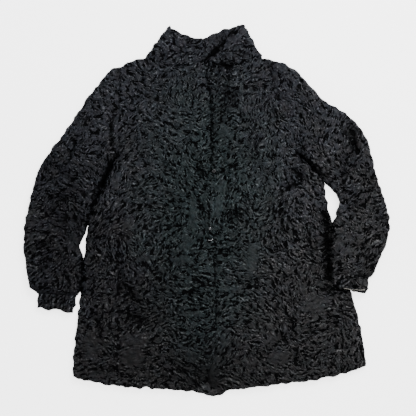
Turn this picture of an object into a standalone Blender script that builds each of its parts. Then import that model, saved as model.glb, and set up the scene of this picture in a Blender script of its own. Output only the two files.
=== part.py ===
"""Curly lamb fur jacket laid out flat, its fronts lapped and its arms at its sides.

Blender's +Z is up, +Y runs from the hem to the collar, and the jacket lies on z = 0.
All tables and sizes are in millimetres; the meshes are made in metres.
"""

import math

import bmesh
import bpy
import numpy as np

MM = 0.001

# Layers of the laid-out body, from the table upwards.
BACK_WALL = 8.0
LAYER_GAP = 0.3
FRONT_LOW = BACK_WALL + LAYER_GAP
FRONT_WALL = 8.6
FRONT_TOP = FRONT_LOW + FRONT_WALL

# The lap at the centre front: the wearer's right front lies over the left one.
LAP_UNDER_TOP = 13.5
LAP_UNDER_EDGE_TOP = 10.8
LAP_TAPER = 8.0
LAP_FLAT_END = 46.0
LAP_RISE_END = 76.0
LAP_WIDTH = 20.0
LAP_OVER_LOW = LAP_UNDER_TOP + LAYER_GAP
LAP_OVER_EDGE_LOW = 11.6
LAP_OVER_FULL = 16.0
LAP_OVER_STEP = 24.0
LAP_OVER_END = 32.0
LAP_OVER_TOP_RISE = 5.6
LAP_OVER_TOP_END = 70.0
LAP_NECK_RISE = 2.6

# Rounded borders: how far in from an edge the pile thins, and to what height.
BORDER_REACH = 9.0
BORDER_EDGE = 3.0
SEAM_REACH = 4.0
SEAM_EDGE = 5.6
BORDER_STEPS = (0.0, 1.6, 4.6, 9.0)
KNEE_CLEAR = 0.006
SNAP_FADE = 0.12

# Sleeve and cuff walls.
SLEEVE_WALL_VOID = 3.2
CUFF_VOID = 3.2
SIDE_ARC_STEPS = 6
SLEEVE_FLAT_STEPS = 9
CUFF_FLAT_STEPS = 15

# Collar band.
COLLAR_WALL = 8.0
COLLAR_GAP = 0.8
COLLAR_FOLD_STEPS = 6
COLLAR_LIFT = 3.0

# Seams and borders of the panels, x then y.
SIDE_RIGHT = (
    (-218.8, 355), (-223.8, 132.5), (-236.2, 110), (-253.8, 75), (-266.2, 45),
    (-278.8, 12.5), (-288.8, -12.5), (-293.8, -32.5), (-299.8, -75), (-302.2, -100),
    (-305.2, -120), (-306.2, -140), (-307.8, -175), (-313.8, -207.5), (-316.2, -235),
    (-326.2, -315), (-331.2, -365), (-333.8, -400), (-333.8, -415),
)
SIDE_LEFT = (
    (153.8, 375), (226.2, 145), (235, 136.2), (258.8, 110), (291.2, 68.8), (298.8, 25),
    (303.8, -5), (316.2, -37.5), (336.2, -115), (356.2, -195), (370, -242.5),
    (377.5, -265), (385, -302.5), (392, -350), (397.5, -375), (398.8, -388.8),
)
NECK_RIGHT = (
    (-218.8, 355), (-188.8, 370), (-152.5, 379.6), (-113.8, 365.5), (-76.2, 359.5),
    (-41.2, 363), (-3.8, 371.8),
)
NECK_LEFT = (
    (-23.8, 365.2), (-3.8, 369.8), (3.8, 371.4), (31.2, 364.2), (63.8, 359.2),
    (101.2, 366.8), (137.5, 379.2), (153.8, 375),
)
NECK_BACK = (
    (-218.8, 355), (-188.8, 370), (-152.5, 379.6), (-78.8, 369.2), (-6.2, 366.8),
    (66.2, 369.2), (137.5, 379.2), (153.8, 375),
)
HEM_RIGHT = (
    (-333.8, -415), (-306.2, -425), (-213.8, -440), (-141.2, -445), (-66.2, -450),
    (-36.2, -452.5), (-22.5, -442.5), (-13.8, -422.5),
)
HEM_LEFT = (
    (3.8, -430), (13.8, -442.5), (28.8, -450), (48.8, -450.5), (118.8, -443.8),
    (243.8, -427.5), (328.8, -412.5), (378.8, -396.5), (398.8, -388.8),
)
HEM_BACK = (
    (-333.8, -415), (-306.2, -424), (-213.8, -439), (-141.2, -444), (-66.2, -449),
    (-30, -452.5), (3, -463.5), (32, -463.5), (56, -449),
    (118.8, -442.5), (243.8, -426), (328.8, -411), (378.8, -395.5), (398.8, -388.8),
)
CENTRE_RIGHT = (
    (-3.8, 371.8), (-1.2, 350), (1.2, 310), (11.2, 275), (13.8, 175), (13.8, 122.5),
    (10, 95), (0, 65), (-3.8, 0), (-1.2, -75), (8.8, -105), (21.2, -130), (26.2, -225),
    (23.8, -350), (18.8, -375), (3.8, -400), (-8.8, -415), (-13.8, -422.5),
)
CENTRE_LEFT = (
    (-23.8, 365.2), (-21.2, 350), (-18.8, 310), (-8.8, 275), (-6.2, 175), (-6.2, 122.5),
    (-10, 95), (-20, 65), (-23.8, 0), (-21.2, -75), (-11.2, -105), (1.2, -130),
    (6.2, -225), (3.8, -350), (2.5, -380), (2.5, -405), (3.8, -430),
)

# Collar lines: each half of the front and the back, at the neck seam and at the top.
COLLAR_RIGHT_SEAM = (
    (-152.5, 380.4), (-113.8, 366.2), (-76.2, 360.2), (-41.2, 363.8), (-3.8, 372.5),
)
COLLAR_RIGHT_TOP = (
    (-93.8, 463.5), (-86.2, 452.5), (-68.8, 442.5), (-41.2, 432.5), (-11.2, 426.2),
)
COLLAR_BACK_SEAM = (
    (-152.5, 380.4), (-78.8, 370), (-6.2, 367.6), (66.2, 370), (137.5, 380),
)
COLLAR_BACK_TOP = (
    (-93.8, 463.5), (-86.2, 451.5), (-68.8, 441.5), (-41.2, 431.5), (-8.8, 425),
    (8.8, 436.2), (38.8, 448.8), (63.8, 455), (93.8, 461.2),
)
COLLAR_LEFT_SEAM = (
    (137.5, 380), (101.2, 367.6), (63.8, 360.2), (31.2, 365.2), (3.8, 372.5),
)
COLLAR_LEFT_TOP = ((93.8, 461.2), (86, 462), (77.5, 461.2))

# Sleeve rings from armhole to wrist: the arm's inner edge x, y, its outer edge x, y,
# the height of the flattened sleeve, the crown over it, the lift of its inner edge off
# the table and how wide a strip of it is lifted.
SLEEVE_RIGHT = (
    (-224.1, 132.5, -219.1, 355, 17.2, 0.0, 0.0, 0.0),
    (-232.5, 120.5, -242.5, 346.2, 20.0, 2.0, 0.0, 0.0),
    (-238.8, 109.2, -272.5, 308.8, 21.5, 3.5, 0.0, 0.0),
    (-247.2, 92.5, -301.2, 272.5, 22.0, 4.0, 0.0, 0.0),
    (-256.2, 74.2, -326.2, 235, 22.0, 4.0, 0.0, 0.0),
    (-263.2, 57.5, -351.2, 196.2, 22.5, 4.0, 0.0, 0.0),
    (-270.8, 40, -381.2, 157.5, 22.5, 3.5, 0.0, 0.0),
    (-279.8, 17.5, -408.8, 118.8, 22.5, 3.0, 0.0, 0.0),
    (-288.2, -3.8, -428, 75, 22.0, 3.0, 0.0, 0.0),
    (-294, -23.8, -438.8, 27.5, 22.0, 3.5, 0.0, 0.0),
    (-301.5, -50, -448.8, -10, 22.0, 4.0, 0.0, 0.0),
    (-316.5, -87.5, -454.5, -50, 22.0, 4.0, 0.0, 0.0),
    (-308.8, -120, -455.6, -87.5, 22.0, 4.0, 0.0, 0.0),
    (-308, -142.5, -451.2, -127.5, 22.5, 4.5, 0.0, 0.0),
    (-309.5, -172.5, -446.2, -165, 23.0, 5.0, 0.0, 0.0),
    (-314, -198, -441.2, -192.5, 22.5, 4.0, 0.0, 0.0),
    (-320.0, -205.5, -432.0, -201, 20.0, 2.0, 0.0, 0.0),
    (-324.2, -211.2, -421.2, -204.5, 16.5, 0.0, 0.0, 0.0),
)
SLEEVE_LEFT = (
    (226.6, 145, 154.2, 375, 17.2, 0.0, 0.0, 0.0),
    (237, 137, 193.8, 365.5, 20.0, 2.0, 0.0, 0.0),
    (250.8, 122, 226.2, 343.8, 21.5, 3.5, 0.0, 0.0),
    (263.8, 107, 261.2, 306.2, 22.0, 4.0, 0.0, 0.0),
    (278.8, 88, 296.2, 270, 22.0, 4.0, 0.0, 0.0),
    (296.2, 70, 336.2, 246.2, 22.5, 4.0, 0.0, 0.0),
    (313.8, 51.2, 373.8, 216.2, 22.5, 3.5, 0.0, 0.0),
    (328.8, 32.5, 398.8, 177.5, 22.5, 3.0, 3.0, 12.0),
    (332.5, 15, 412.5, 132.5, 22.0, 3.0, 8.0, 14.0),
    (325, -10, 422.5, 90, 22.0, 3.0, 17.6, 16.0),
    (316.2, -32.5, 436.2, 47.5, 22.0, 3.0, 17.6, 18.0),
    (311.2, -57.5, 450, 5, 22.0, 3.0, 17.6, 30.0),
    (308.8, -85, 455.6, -37.5, 22.0, 3.0, 17.6, 40.0),
    (306.2, -115, 450, -77.5, 22.0, 3.5, 17.6, 48.0),
    (304.7, -137.5, 433.8, -117.5, 22.0, 3.5, 17.6, 54.0),
    (305.8, -147, 422, -149, 20.0, 2.0, 17.6, 56.0),
    (307.2, -151.2, 412.5, -166.2, 17.0, 0.0, 17.6, 58.0),
)
CUFF_RIGHT = (
    (-325, -212.2, -420.5, -205.5, 15.2, 0.0, 0.0, 0.0),
    (-326.8, -220, -419.8, -211.2, 16.2, 1.0, 0.0, 0.0),
    (-329.2, -232.5, -420.8, -222.5, 16.6, 1.5, 0.0, 0.0),
    (-332.2, -245, -422.2, -232.5, 16.2, 1.0, 0.0, 0.0),
    (-334.2, -254, -421.8, -242, 13.5, 0.0, 0.0, 0.0),
)
CUFF_LEFT = (
    (307.6, -152.2, 411.8, -167.2, 15.6, 0.0, 17.6, 58.0),
    (307.5, -160, 407.8, -175, 16.2, 1.0, 17.6, 60.0),
    (309.2, -170, 404.2, -187.5, 16.2, 1.0, 17.6, 62.0),
    (312.5, -180.8, 402.8, -199.5, 14.0, 0.0, 17.6, 62.0),
)
LIFT_RAMP = 46.0
CUFF_GATHERS = 9
CUFF_GATHER_HEIGHT = 1.3
CUFF_LIP = 5.5

# Soft folds: start x, y, end x, y, reach to each side, height over the cloth.
FOLDS_RIGHT = (
    (-150, -50, -170, -425, 40.0, 3.6),
    (-255, -60, -292, -400, 30.0, 3.0),
    (-100, -130, -98, -425, 22.0, -2.6),
    (-52, 150, -64, -100, 26.0, 2.6),
    (-120, 300, -60, 240, 30.0, 2.6),
    (-220, -85, -216, -162, 9.0, -3.4),
    (-216, -162, -192, -205, 9.0, -3.0),
    (-264, -280, -270, -328, 12.0, -2.6),
    (-184, -250, -180, -290, 12.0, -2.4),
)
FOLDS_LEFT = (
    (44, 350, 44, 180, 24.0, -1.6),
    (158, 188, 134, 118, 24.0, 3.4),
    (202, 25, 222, -118, 24.0, 3.8),
    (258, 112, 204, 58, 12.0, -3.8),
    (188, 40, 190, -62, 9.0, -3.2),
    (108, -50, 140, -425, 42.0, 3.8),
    (262, -100, 322, -388, 36.0, 3.2),
    (196, -225, 214, -412, 20.0, -2.8),
    (94, 240, 100, 60, 30.0, 2.2),
)
FOLDS_SLEEVE_RIGHT = (
    (-321, 182, -366, 100, 12.0, -4.4),
    (-366, 100, -391, 32, 12.0, -4.0),
    (-396, 34, -336, 32, 11.0, -3.2),
    (-341, -5, -316, -62, 11.0, -3.4),
    (-300, 190, -330, 110, 16.0, 3.0),
    (-440, 0, -395, -8, 9.0, -2.4),
    (-446, -60, -396, -64, 9.0, -2.4),
    (-444, -112, -392, -108, 9.0, -2.4),
    (-410, -86, -404, -104, 12.0, -2.8),
)
FOLDS_SLEEVE_LEFT = (
    (358, 205, 371, 150, 14.0, -5.2),
    (371, 150, 348, 88, 14.0, -5.6),
    (348, 88, 338, 45, 13.0, -4.6),
    (398, 150, 385, 60, 18.0, 3.2),
    (330, 190, 310, 130, 20.0, 3.0),
    (430, 20, 376, 6, 10.0, -2.6),
    (440, -46, 392, -56, 10.0, -2.4),
    (378, -130, 384, -104, 9.0, -2.6),
)

# Closures on the lap: wire thickness, ring size and the run of the fur hook, x, y, rise.
WIRE_RADIUS = 0.8
EYE_RADIUS = 3.2
EYE_PLACE = (18.6, 97.5)
HOOK_RUN = (
    (12.0, -71.0, 0.0), (15.2, -75.6, 0.0), (18.2, -72.0, 0.0), (15.6, -68.0, 0.0),
    (12.6, -61.0, 0.2), (10.6, -52.0, 0.9), (9.2, -45.6, 1.8), (11.6, -43.0, 2.8),
    (14.0, -45.2, 3.2), (13.6, -49.2, 2.8),
)
LOOP_RUN = (
    (7.0, -72.6, 0.0), (3.6, -75.0, 0.0), (1.4, -72.2, 0.0), (4.4, -69.4, 0.0),
    (8.6, -70.6, 0.0), (9.4, -73.4, 0.2),
)

# Lining at the open cuff: where it starts along the mouth, how far it reaches inside
# in shares of the last stretch of cuff, how proud of the mouth, and its thickness.
LINING_FIRST = 4
LINING_INSIDE = (0.7, 0.35)
LINING_PROUD = 3.2
LINING_THICK = 1.5
LINING_CLEAR = 0.4

FUR_BLACK = (0.016, 0.018, 0.020)
FUR_SHADE = (0.009, 0.010, 0.011)
STEEL = (0.72, 0.72, 0.73)
LINING_GREY = (0.62, 0.61, 0.57)


def clear_scene():
    for old in list(bpy.data.objects):
        bpy.data.objects.remove(old, do_unlink=True)


def make_material(name, colour, roughness, metallic=0.0):
    material = bpy.data.materials.new(name)
    material.use_nodes = True
    shader = material.node_tree.nodes["Principled BSDF"]
    shader.inputs["Base Color"].default_value = (*colour, 1.0)
    shader.inputs["Roughness"].default_value = roughness
    shader.inputs["Metallic"].default_value = metallic
    return material


def line_at(points, t, axis):
    """Points of a border line at fractions t, measured along one axis."""
    points = np.array(points, float)
    measure = np.abs(points[:, axis] - points[0, axis])
    measure = measure / measure[-1]
    x = np.interp(t, measure, points[:, 0])
    y = np.interp(t, measure, points[:, 1])
    return np.stack([x, y], axis=-1)


def panel_plan(side_a, side_b, neck, hem, u, v):
    """Blend the four borders of a panel: u runs from side_a to side_b, v down."""
    v_column = v[:, None, None]
    u_grid = u[:, :, None]
    a = line_at(side_a, v, 1)[:, None, :]
    b = line_at(side_b, v, 1)[:, None, :]
    top = line_at(neck, u, 0)
    low = line_at(hem, u, 0)
    corners = [np.array(p, float) for p in (neck[0], neck[-1], hem[0], hem[-1])]
    across = (1 - u_grid) * a + u_grid * b
    down = (1 - v_column) * top + v_column * low
    mix_top = (1 - u_grid) * corners[0] + u_grid * corners[1]
    mix_low = (1 - u_grid) * corners[2] + u_grid * corners[3]
    return across + down - (1 - v_column) * mix_top - v_column * mix_low


def smooth(low, high, x):
    t = np.clip((x - low) / (high - low), 0.0, 1.0)
    return t * t * (3 - 2 * t)


def folds_at(folds, x, y):
    """Height of the soft folds over the cloth."""
    height = np.zeros_like(x)
    for x0, y0, x1, y1, reach, rise in folds:
        run = np.array([x1 - x0, y1 - y0], float)
        t = ((x - x0) * run[0] + (y - y0) * run[1]) / run.dot(run)
        t = np.clip(t, 0.0, 1.0)
        gap = np.hypot(x - x0 - t * run[0], y - y0 - t * run[1])
        height += rise * np.exp(-(gap / reach) ** 2)
    return height


def border_thin(distance, reach, edge, full):
    """Pile height at a distance from a border, rounding down to its edge."""
    t = np.clip(distance / reach, 0.0, 1.0)
    return edge + (full - edge) * np.sqrt(1 - (1 - t) ** 2)


def fractions(length, near, far, count):
    """Fractions along a length, with fixed steps from each end and even ones between."""
    near = np.array(near) / length
    far = 1 - np.array(far)[::-1] / length
    middle = np.linspace(near[-1], far[0], count + 1)[1:-1]
    return np.concatenate([near, middle, far])


def closed_sheet(name, outer, inner, material, tube=False):
    """A wall between two grids of points, open all round its border or as a tube."""
    rows, columns = outer.shape[:2]
    bm = bmesh.new()
    bmesh.ops.create_grid(bm, x_segments=columns - 1, y_segments=rows - 1, size=0.5)
    place = bm.verts.layers.int.new("place")
    for vert in bm.verts:
        column = round((vert.co.x + 0.5) * (columns - 1))
        row = round((vert.co.y + 0.5) * (rows - 1))
        vert[place] = row * columns + column
        vert.co = outer[row, column] * MM
    if tube:
        bmesh.ops.remove_doubles(bm, verts=bm.verts[:], dist=1e-6)
    skin = bm.faces[:] + bm.edges[:] + bm.verts[:]
    grown = bmesh.ops.extrude_face_region(bm, geom=skin, use_keep_orig=True)
    for part in grown["geom"]:
        if isinstance(part, bmesh.types.BMVert):
            row, column = divmod(part[place], columns)
            part.co = inner[row, column] * MM
    bmesh.ops.recalc_face_normals(bm, faces=bm.faces[:])
    return finish(name, bm, material)


def finish(name, bm, material):
    mesh = bpy.data.meshes.new(name)
    bm.to_mesh(mesh)
    bm.free()
    for face in mesh.polygons:
        face.use_smooth = True
    mesh.materials.append(material)
    piece = bpy.data.objects.new(name, mesh)
    bpy.context.scene.collection.objects.link(piece)
    return piece


def snapped(row, border):
    """Move the nearest stations of a row onto the corners of its border line."""
    points = np.array(border, float)
    marks = (points[1:-1, 0] - points[0, 0]) / (points[-1, 0] - points[0, 0])
    row = row.copy()
    for mark in marks:
        nearest = 1 + int(np.argmin(np.abs(row[1:-1] - mark)))
        row[nearest] = mark
    return row


def panel_columns(widths, near, far, count, neck, hem, rows):
    """Columns of every row, drawn to the corners of the neck and of the hem."""
    u = np.array([fractions(width, near, far, count) for width in widths])
    at_neck = snapped(u[0], neck) - u[0]
    at_hem = snapped(u[-1], hem) - u[-1]
    neck_share = 1 - smooth(0.0, SNAP_FADE, rows)
    hem_share = 1 - smooth(0.0, SNAP_FADE, 1 - rows)
    return u + neck_share[:, None] * at_neck + hem_share[:, None] * at_hem


def underarm_fraction(side):
    """How far down a side its underarm point lies."""
    return (side[0][1] - side[1][1]) / (side[0][1] - side[-1][1])


def row_fractions(sides, count):
    """Rows down a panel, with one on each side's underarm point."""
    length = abs(sides[0][-1][1] - sides[0][0][1])
    rows = fractions(length, BORDER_STEPS, BORDER_STEPS, count)
    for side in sides:
        underarm = underarm_fraction(side)
        rows = rows[np.abs(rows - underarm) > KNEE_CLEAR]
        rows = np.sort(np.append(rows, underarm))
    return rows, length


def free_edge(distance_side, v, underarm, full):
    """Pile height along a side: shallow at the armhole seam, rounded below it."""
    seam = border_thin(distance_side, SEAM_REACH, SEAM_EDGE, full)
    loose = border_thin(distance_side, BORDER_REACH, BORDER_EDGE, full)
    below = smooth(underarm, underarm + 0.03, v)
    return seam * (1 - below) + loose * below


def lap_over_low(distance):
    """Underside of the upper front, which steps over the edge of the lower one."""
    steps = (0.0, LAP_OVER_FULL, LAP_OVER_STEP, LAP_OVER_END)
    lows = (LAP_OVER_LOW, LAP_OVER_LOW, LAP_OVER_EDGE_LOW, FRONT_LOW)
    return np.interp(distance, steps, lows)


def make_front_right(material):
    """The wearer's right front, on top at the centre."""
    rows, length = row_fractions((SIDE_RIGHT,), 22)
    underarm = underarm_fraction(SIDE_RIGHT)
    left = line_at(SIDE_RIGHT, rows, 1)
    right = line_at(CENTRE_RIGHT, rows, 1)
    widths = np.linalg.norm(right - left, axis=1)
    lap_steps = (0.0, 2.0, 6.0, LAP_OVER_FULL, LAP_OVER_STEP, LAP_OVER_END, 48.0, 68.0)
    u = panel_columns(widths, BORDER_STEPS, lap_steps, 9, NECK_RIGHT, HEM_RIGHT, rows)
    plan = panel_plan(SIDE_RIGHT, CENTRE_RIGHT, NECK_RIGHT, HEM_RIGHT, u, rows)
    x = plan[:, :, 0]
    y = plan[:, :, 1]
    v = np.broadcast_to(rows[:, None], u.shape)
    from_side = u * widths[:, None]
    from_lap = (1 - u) * widths[:, None]
    from_neck = v * length
    from_hem = (1 - v) * length
    low = lap_over_low(from_lap)
    neck_calm = smooth(0.0, 70.0, from_neck)
    lap_rise = LAP_NECK_RISE + (LAP_OVER_TOP_RISE - LAP_NECK_RISE) * neck_calm
    wall = FRONT_WALL + folds_at(FOLDS_RIGHT, x, y) * smooth(0.0, 40.0, from_side)
    wall = wall + lap_rise * (1 - smooth(LAP_OVER_STEP, LAP_OVER_TOP_END, from_lap))
    top = FRONT_LOW + wall
    pile = top - low
    pile = np.minimum(pile, free_edge(from_side, v, underarm, pile))
    pile = np.minimum(pile, border_thin(from_lap, BORDER_REACH, BORDER_EDGE, pile))
    pile = np.minimum(pile, border_thin(from_hem, BORDER_REACH, BORDER_EDGE, pile))
    pile = np.minimum(pile, border_thin(from_neck, SEAM_REACH, SEAM_EDGE * 0.5, pile))
    outer = np.stack([x, y, low + pile], axis=-1)
    inner = np.stack([x, y, low], axis=-1)
    return closed_sheet("front_right", outer, inner, material)


def make_front_left(material):
    """The wearer's left front, which runs under the lap."""
    rows, length = row_fractions((SIDE_LEFT,), 22)
    underarm = underarm_fraction(SIDE_LEFT)
    left = line_at(CENTRE_LEFT, rows, 1)
    right = line_at(SIDE_LEFT, rows, 1)
    widths = np.linalg.norm(right - left, axis=1)
    lap_steps = (0.0, 2.0, LAP_TAPER, 26.0, LAP_FLAT_END, 60.0, LAP_RISE_END, 96.0)
    u = panel_columns(widths, lap_steps, BORDER_STEPS, 9, NECK_LEFT, HEM_LEFT, rows)
    plan = panel_plan(CENTRE_LEFT, SIDE_LEFT, NECK_LEFT, HEM_LEFT, u, rows)
    x = plan[:, :, 0]
    y = plan[:, :, 1]
    v = np.broadcast_to(rows[:, None], u.shape)
    from_lap = u * widths[:, None]
    from_side = (1 - u) * widths[:, None]
    from_neck = v * length
    from_hem = (1 - v) * length
    calm = smooth(45.0, 90.0, from_side) * smooth(LAP_FLAT_END, LAP_RISE_END, from_lap)
    wall = FRONT_WALL + folds_at(FOLDS_LEFT, x, y) * calm
    lap = LAP_UNDER_TOP - FRONT_LOW
    wall = lap + (wall - lap) * smooth(LAP_FLAT_END, LAP_RISE_END, from_lap)
    edge_drop = (LAP_UNDER_TOP - LAP_UNDER_EDGE_TOP) / LAP_TAPER
    wall = wall - edge_drop * np.clip(LAP_TAPER - from_lap, 0.0, LAP_TAPER)
    pile = np.minimum(wall, free_edge(from_side, v, underarm, wall))
    pile = np.minimum(pile, border_thin(from_hem, BORDER_REACH, BORDER_EDGE, pile))
    pile = np.minimum(pile, border_thin(from_neck, SEAM_REACH, SEAM_EDGE * 0.5, pile))
    outer = np.stack([x, y, FRONT_LOW + pile], axis=-1)
    inner = np.stack([x, y, np.full_like(x, FRONT_LOW)], axis=-1)
    return closed_sheet("front_left", outer, inner, material)


def make_back(material):
    """The back, whose underside is the face that the jacket rests on."""
    rows, length = row_fractions((SIDE_RIGHT, SIDE_LEFT), 15)
    underarm = underarm_fraction(SIDE_RIGHT)
    left = line_at(SIDE_RIGHT, rows, 1)
    right = line_at(SIDE_LEFT, rows, 1)
    widths = np.linalg.norm(right - left, axis=1)
    u = panel_columns(widths, BORDER_STEPS, BORDER_STEPS, 18, NECK_BACK, HEM_BACK, rows)
    plan = panel_plan(SIDE_RIGHT, SIDE_LEFT, NECK_BACK, HEM_BACK, u, rows)
    x = plan[:, :, 0]
    y = plan[:, :, 1]
    v = np.broadcast_to(rows[:, None], u.shape)
    from_side = np.minimum(u, 1 - u) * widths[:, None]
    from_ends = np.minimum(v, 1 - v) * length
    wall = free_edge(from_side, v, underarm, BACK_WALL)
    wall = np.minimum(wall, border_thin(from_ends, BORDER_REACH, BORDER_EDGE, BACK_WALL))
    outer = np.stack([x, y, np.full_like(x, BACK_WALL)], axis=-1)
    inner = np.stack([x, y, BACK_WALL - wall], axis=-1)
    return closed_sheet("back_panel", outer, inner, material)


def stadium(width, radius, flat_steps):
    """Flattened ring: distance across and height, round from the inner edge's top."""
    flat = np.linspace(radius, width - radius, flat_steps, endpoint=False)
    turn = np.linspace(math.pi / 2, -math.pi / 2, SIDE_ARC_STEPS, endpoint=False)
    across = np.concatenate([
        flat,
        width - radius + radius * np.cos(turn),
        width - flat,
        radius - radius * np.cos(turn),
    ])
    height = np.concatenate([
        np.full(flat_steps, radius),
        radius * np.sin(turn),
        np.full(flat_steps, -radius),
        -radius * np.sin(turn),
    ])
    return np.append(across, across[0]), np.append(height, height[0])


def tube_rings(table, void, flat_steps, folds=(), gathers=0, lip=0.0):
    """Outer and inner rings of a sleeve or cuff lying flat, its lower lip proud."""
    outer_rings = []
    inner_rings = []
    for in_x, in_y, out_x, out_y, thick, crown, lift, strip in table:
        start = np.array([in_x, in_y])
        run = np.array([out_x, out_y]) - start
        width = np.linalg.norm(run)
        run = run / width
        radius = thick / 2
        across, height = stadium(width, radius, flat_steps)
        base = lift * (1 - smooth(strip, strip + LIFT_RAMP, across)) + radius
        x = start[0] + run[0] * across
        y = start[1] + run[1] * across
        upper = smooth(0.0, 0.9, height / radius)
        dome = crown * np.sin(math.pi * across / width)
        relief = folds_at(folds, x, y) * smooth(0.0, 16.0, across)
        relief = relief * smooth(0.0, 16.0, width - across)
        ribs = CUFF_GATHER_HEIGHT * np.cos(2 * math.pi * gathers * across / width)
        ribs = ribs * (gathers > 0) * smooth(0.0, 9.0, np.minimum(across, width - across))
        z = base + height + upper * (dome + relief + ribs)
        proud = lip * (len(outer_rings) == len(table) - 1)
        under = proud * smooth(0.1, 0.9, -height / radius)
        x = x + run[1] * under
        y = y - run[0] * under
        outer_rings.append(np.stack([x, y, z], axis=-1))
        wall = radius - void / 2
        across, height = stadium(width - 2 * wall, void / 2, flat_steps)
        across = across + wall
        base = lift * (1 - smooth(strip, strip + LIFT_RAMP, across)) + radius
        x = start[0] + run[0] * across
        y = start[1] + run[1] * across
        under = proud * smooth(0.1, 0.9, -2 * height / void)
        x = x + run[1] * under
        y = y - run[0] * under
        inner_rings.append(np.stack([x, y, base + height], axis=-1))
    return np.array(outer_rings), np.array(inner_rings)


def make_sleeve(name, table, folds, material):
    outer, inner = tube_rings(table, SLEEVE_WALL_VOID, SLEEVE_FLAT_STEPS, folds)
    return closed_sheet(name, outer, inner, material, tube=True)


def make_cuff(name, table, lip, material):
    outer, inner = tube_rings(table, CUFF_VOID, CUFF_FLAT_STEPS, (), CUFF_GATHERS, lip)
    return closed_sheet(name, outer, inner, material, tube=True)


def void_roof(row, shares, void):
    """Points along the roof of a flattened ring's hollow."""
    in_x, in_y, out_x, out_y, thick, crown, lift, strip = row
    start = np.array([in_x, in_y])
    run = np.array([out_x, out_y]) - start
    width = np.linalg.norm(run)
    run = run / width
    across = thick / 2 + shares * (width - thick)
    base = lift * (1 - smooth(strip, strip + LIFT_RAMP, across)) + thick / 2
    plan = start + across[:, None] * run
    return np.column_stack([plan, base + void / 2])


def make_cuff_lining(material):
    """The edge of the lining that shows in the mouth of the left cuff."""
    shares = np.arange(LINING_FIRST, CUFF_FLAT_STEPS) / CUFF_FLAT_STEPS
    mouth = void_roof(CUFF_LEFT[-1], shares, CUFF_VOID)
    inside = void_roof(CUFF_LEFT[-2], shares, CUFF_VOID)
    outwards = mouth - inside
    outwards[:, 2] = 0.0
    outwards = outwards / np.linalg.norm(outwards, axis=1)[:, None]
    rows = [mouth + (inside - mouth) * share for share in LINING_INSIDE]
    rows.append(mouth)
    rows.append(mouth + outwards * LINING_PROUD)
    roof = np.array(rows) - np.array([0.0, 0.0, LINING_CLEAR])
    floor = roof - np.array([0.0, 0.0, LINING_THICK])
    return closed_sheet("cuff_lining_left", roof, floor, material)


def collar_flat(seam, top, from_fold, v, steps, both_ends):
    """Stations of a flat stretch of the collar, from one fold to its far end."""
    first_seam = np.array(seam[0], float)
    first_top = np.array(top[0], float)
    fold_point = first_seam + (first_top - first_seam) * v
    end_seam = np.array(seam[-1], float)
    end_top = np.array(top[-1], float)
    length = np.linalg.norm(end_seam + (end_top - end_seam) * v - fold_point)
    start = from_fold / length
    end = 1 - start if both_ends else 1.0
    t = snapped(np.linspace(start, end, steps), seam)
    seam_line = line_at(seam, t, 0)
    top_line = line_at(top, t, 0)
    return seam_line + (top_line - seam_line) * v, t, fold_point


def collar_section(v):
    """One run round the collar at height v: middle line, normal and lift."""
    radius = (COLLAR_WALL + COLLAR_GAP) / 2
    reach = radius + COLLAR_WALL / 2
    centre = BACK_WALL + COLLAR_GAP / 2
    right = collar_flat(COLLAR_RIGHT_SEAM, COLLAR_RIGHT_TOP, reach, v, 9, False)
    right_half, t, right_fold = right
    back, _, _ = collar_flat(COLLAR_BACK_SEAM, COLLAR_BACK_TOP, reach, v, 13, True)
    left = collar_flat(COLLAR_LEFT_SEAM, COLLAR_LEFT_TOP, reach, v, 7, False)
    left_half, _, left_fold = left
    points = []
    normals = []
    for here, share in zip(right_half[::-1], t[::-1]):
        lift = COLLAR_LIFT * smooth(0.5, 1.0, share)
        points.append((here[0], here[1], centre + radius + lift))
        normals.append((0.0, 0.0, 1.0))
    folds = (
        (right_half[0], back[0], right_fold, -1.0),
        (left_half[0], back[-1], left_fold, 1.0),
    )
    for number, (upper, lower, fold, side) in enumerate(folds):
        turn = np.linspace(math.pi / 2, -math.pi / 2, COLLAR_FOLD_STEPS + 1)[1:-1]
        if number:
            turn = turn[::-1]
            for here in back[1:-1]:
                points.append((here[0], here[1], centre - radius))
                normals.append((0.0, 0.0, -1.0))
            points.append((back[-1][0], back[-1][1], centre - radius))
            normals.append((0.0, 0.0, -1.0))
        for angle in turn:
            middle = upper + (lower - upper) * (0.5 - angle / math.pi)
            x = middle[0] + side * radius * math.cos(angle)
            y = middle[1] + (fold[1] - middle[1]) * math.cos(angle)
            points.append((x, y, centre + radius * math.sin(angle)))
            normals.append((side * math.cos(angle), 0.0, math.sin(angle)))
        if number == 0:
            points.append((back[0][0], back[0][1], centre - radius))
            normals.append((0.0, 0.0, -1.0))
    for here in left_half:
        points.append((here[0], here[1], centre + radius))
        normals.append((0.0, 0.0, 1.0))
    return np.array(points), np.array(normals)


def make_collar(material):
    """The stand collar: one band that lies folded at both sides of the neck."""
    height = 95.0
    levels = fractions(height, (0.0, 2.0, 6.0), (0.0, 2.0, 6.0), 4)
    outer = []
    inner = []
    for v in levels:
        middle, normal = collar_section(v)
        run = np.linalg.norm(np.diff(middle, axis=0), axis=1)
        along = np.concatenate([[0.0], np.cumsum(run)])
        to_edge = np.minimum(along, along[-1] - along)
        to_edge = np.minimum(to_edge, (1 - v) * height)
        thin = border_thin(to_edge, BORDER_REACH * 0.7, 0.45, 1.0)
        thin = np.minimum(thin, border_thin(v * height, SEAM_REACH, 0.7, 1.0))
        half = COLLAR_WALL / 2 * thin[:, None]
        outer.append(middle + normal * half)
        inner.append(middle - normal * half)
    return closed_sheet("collar", np.array(outer), np.array(inner), material)


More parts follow.
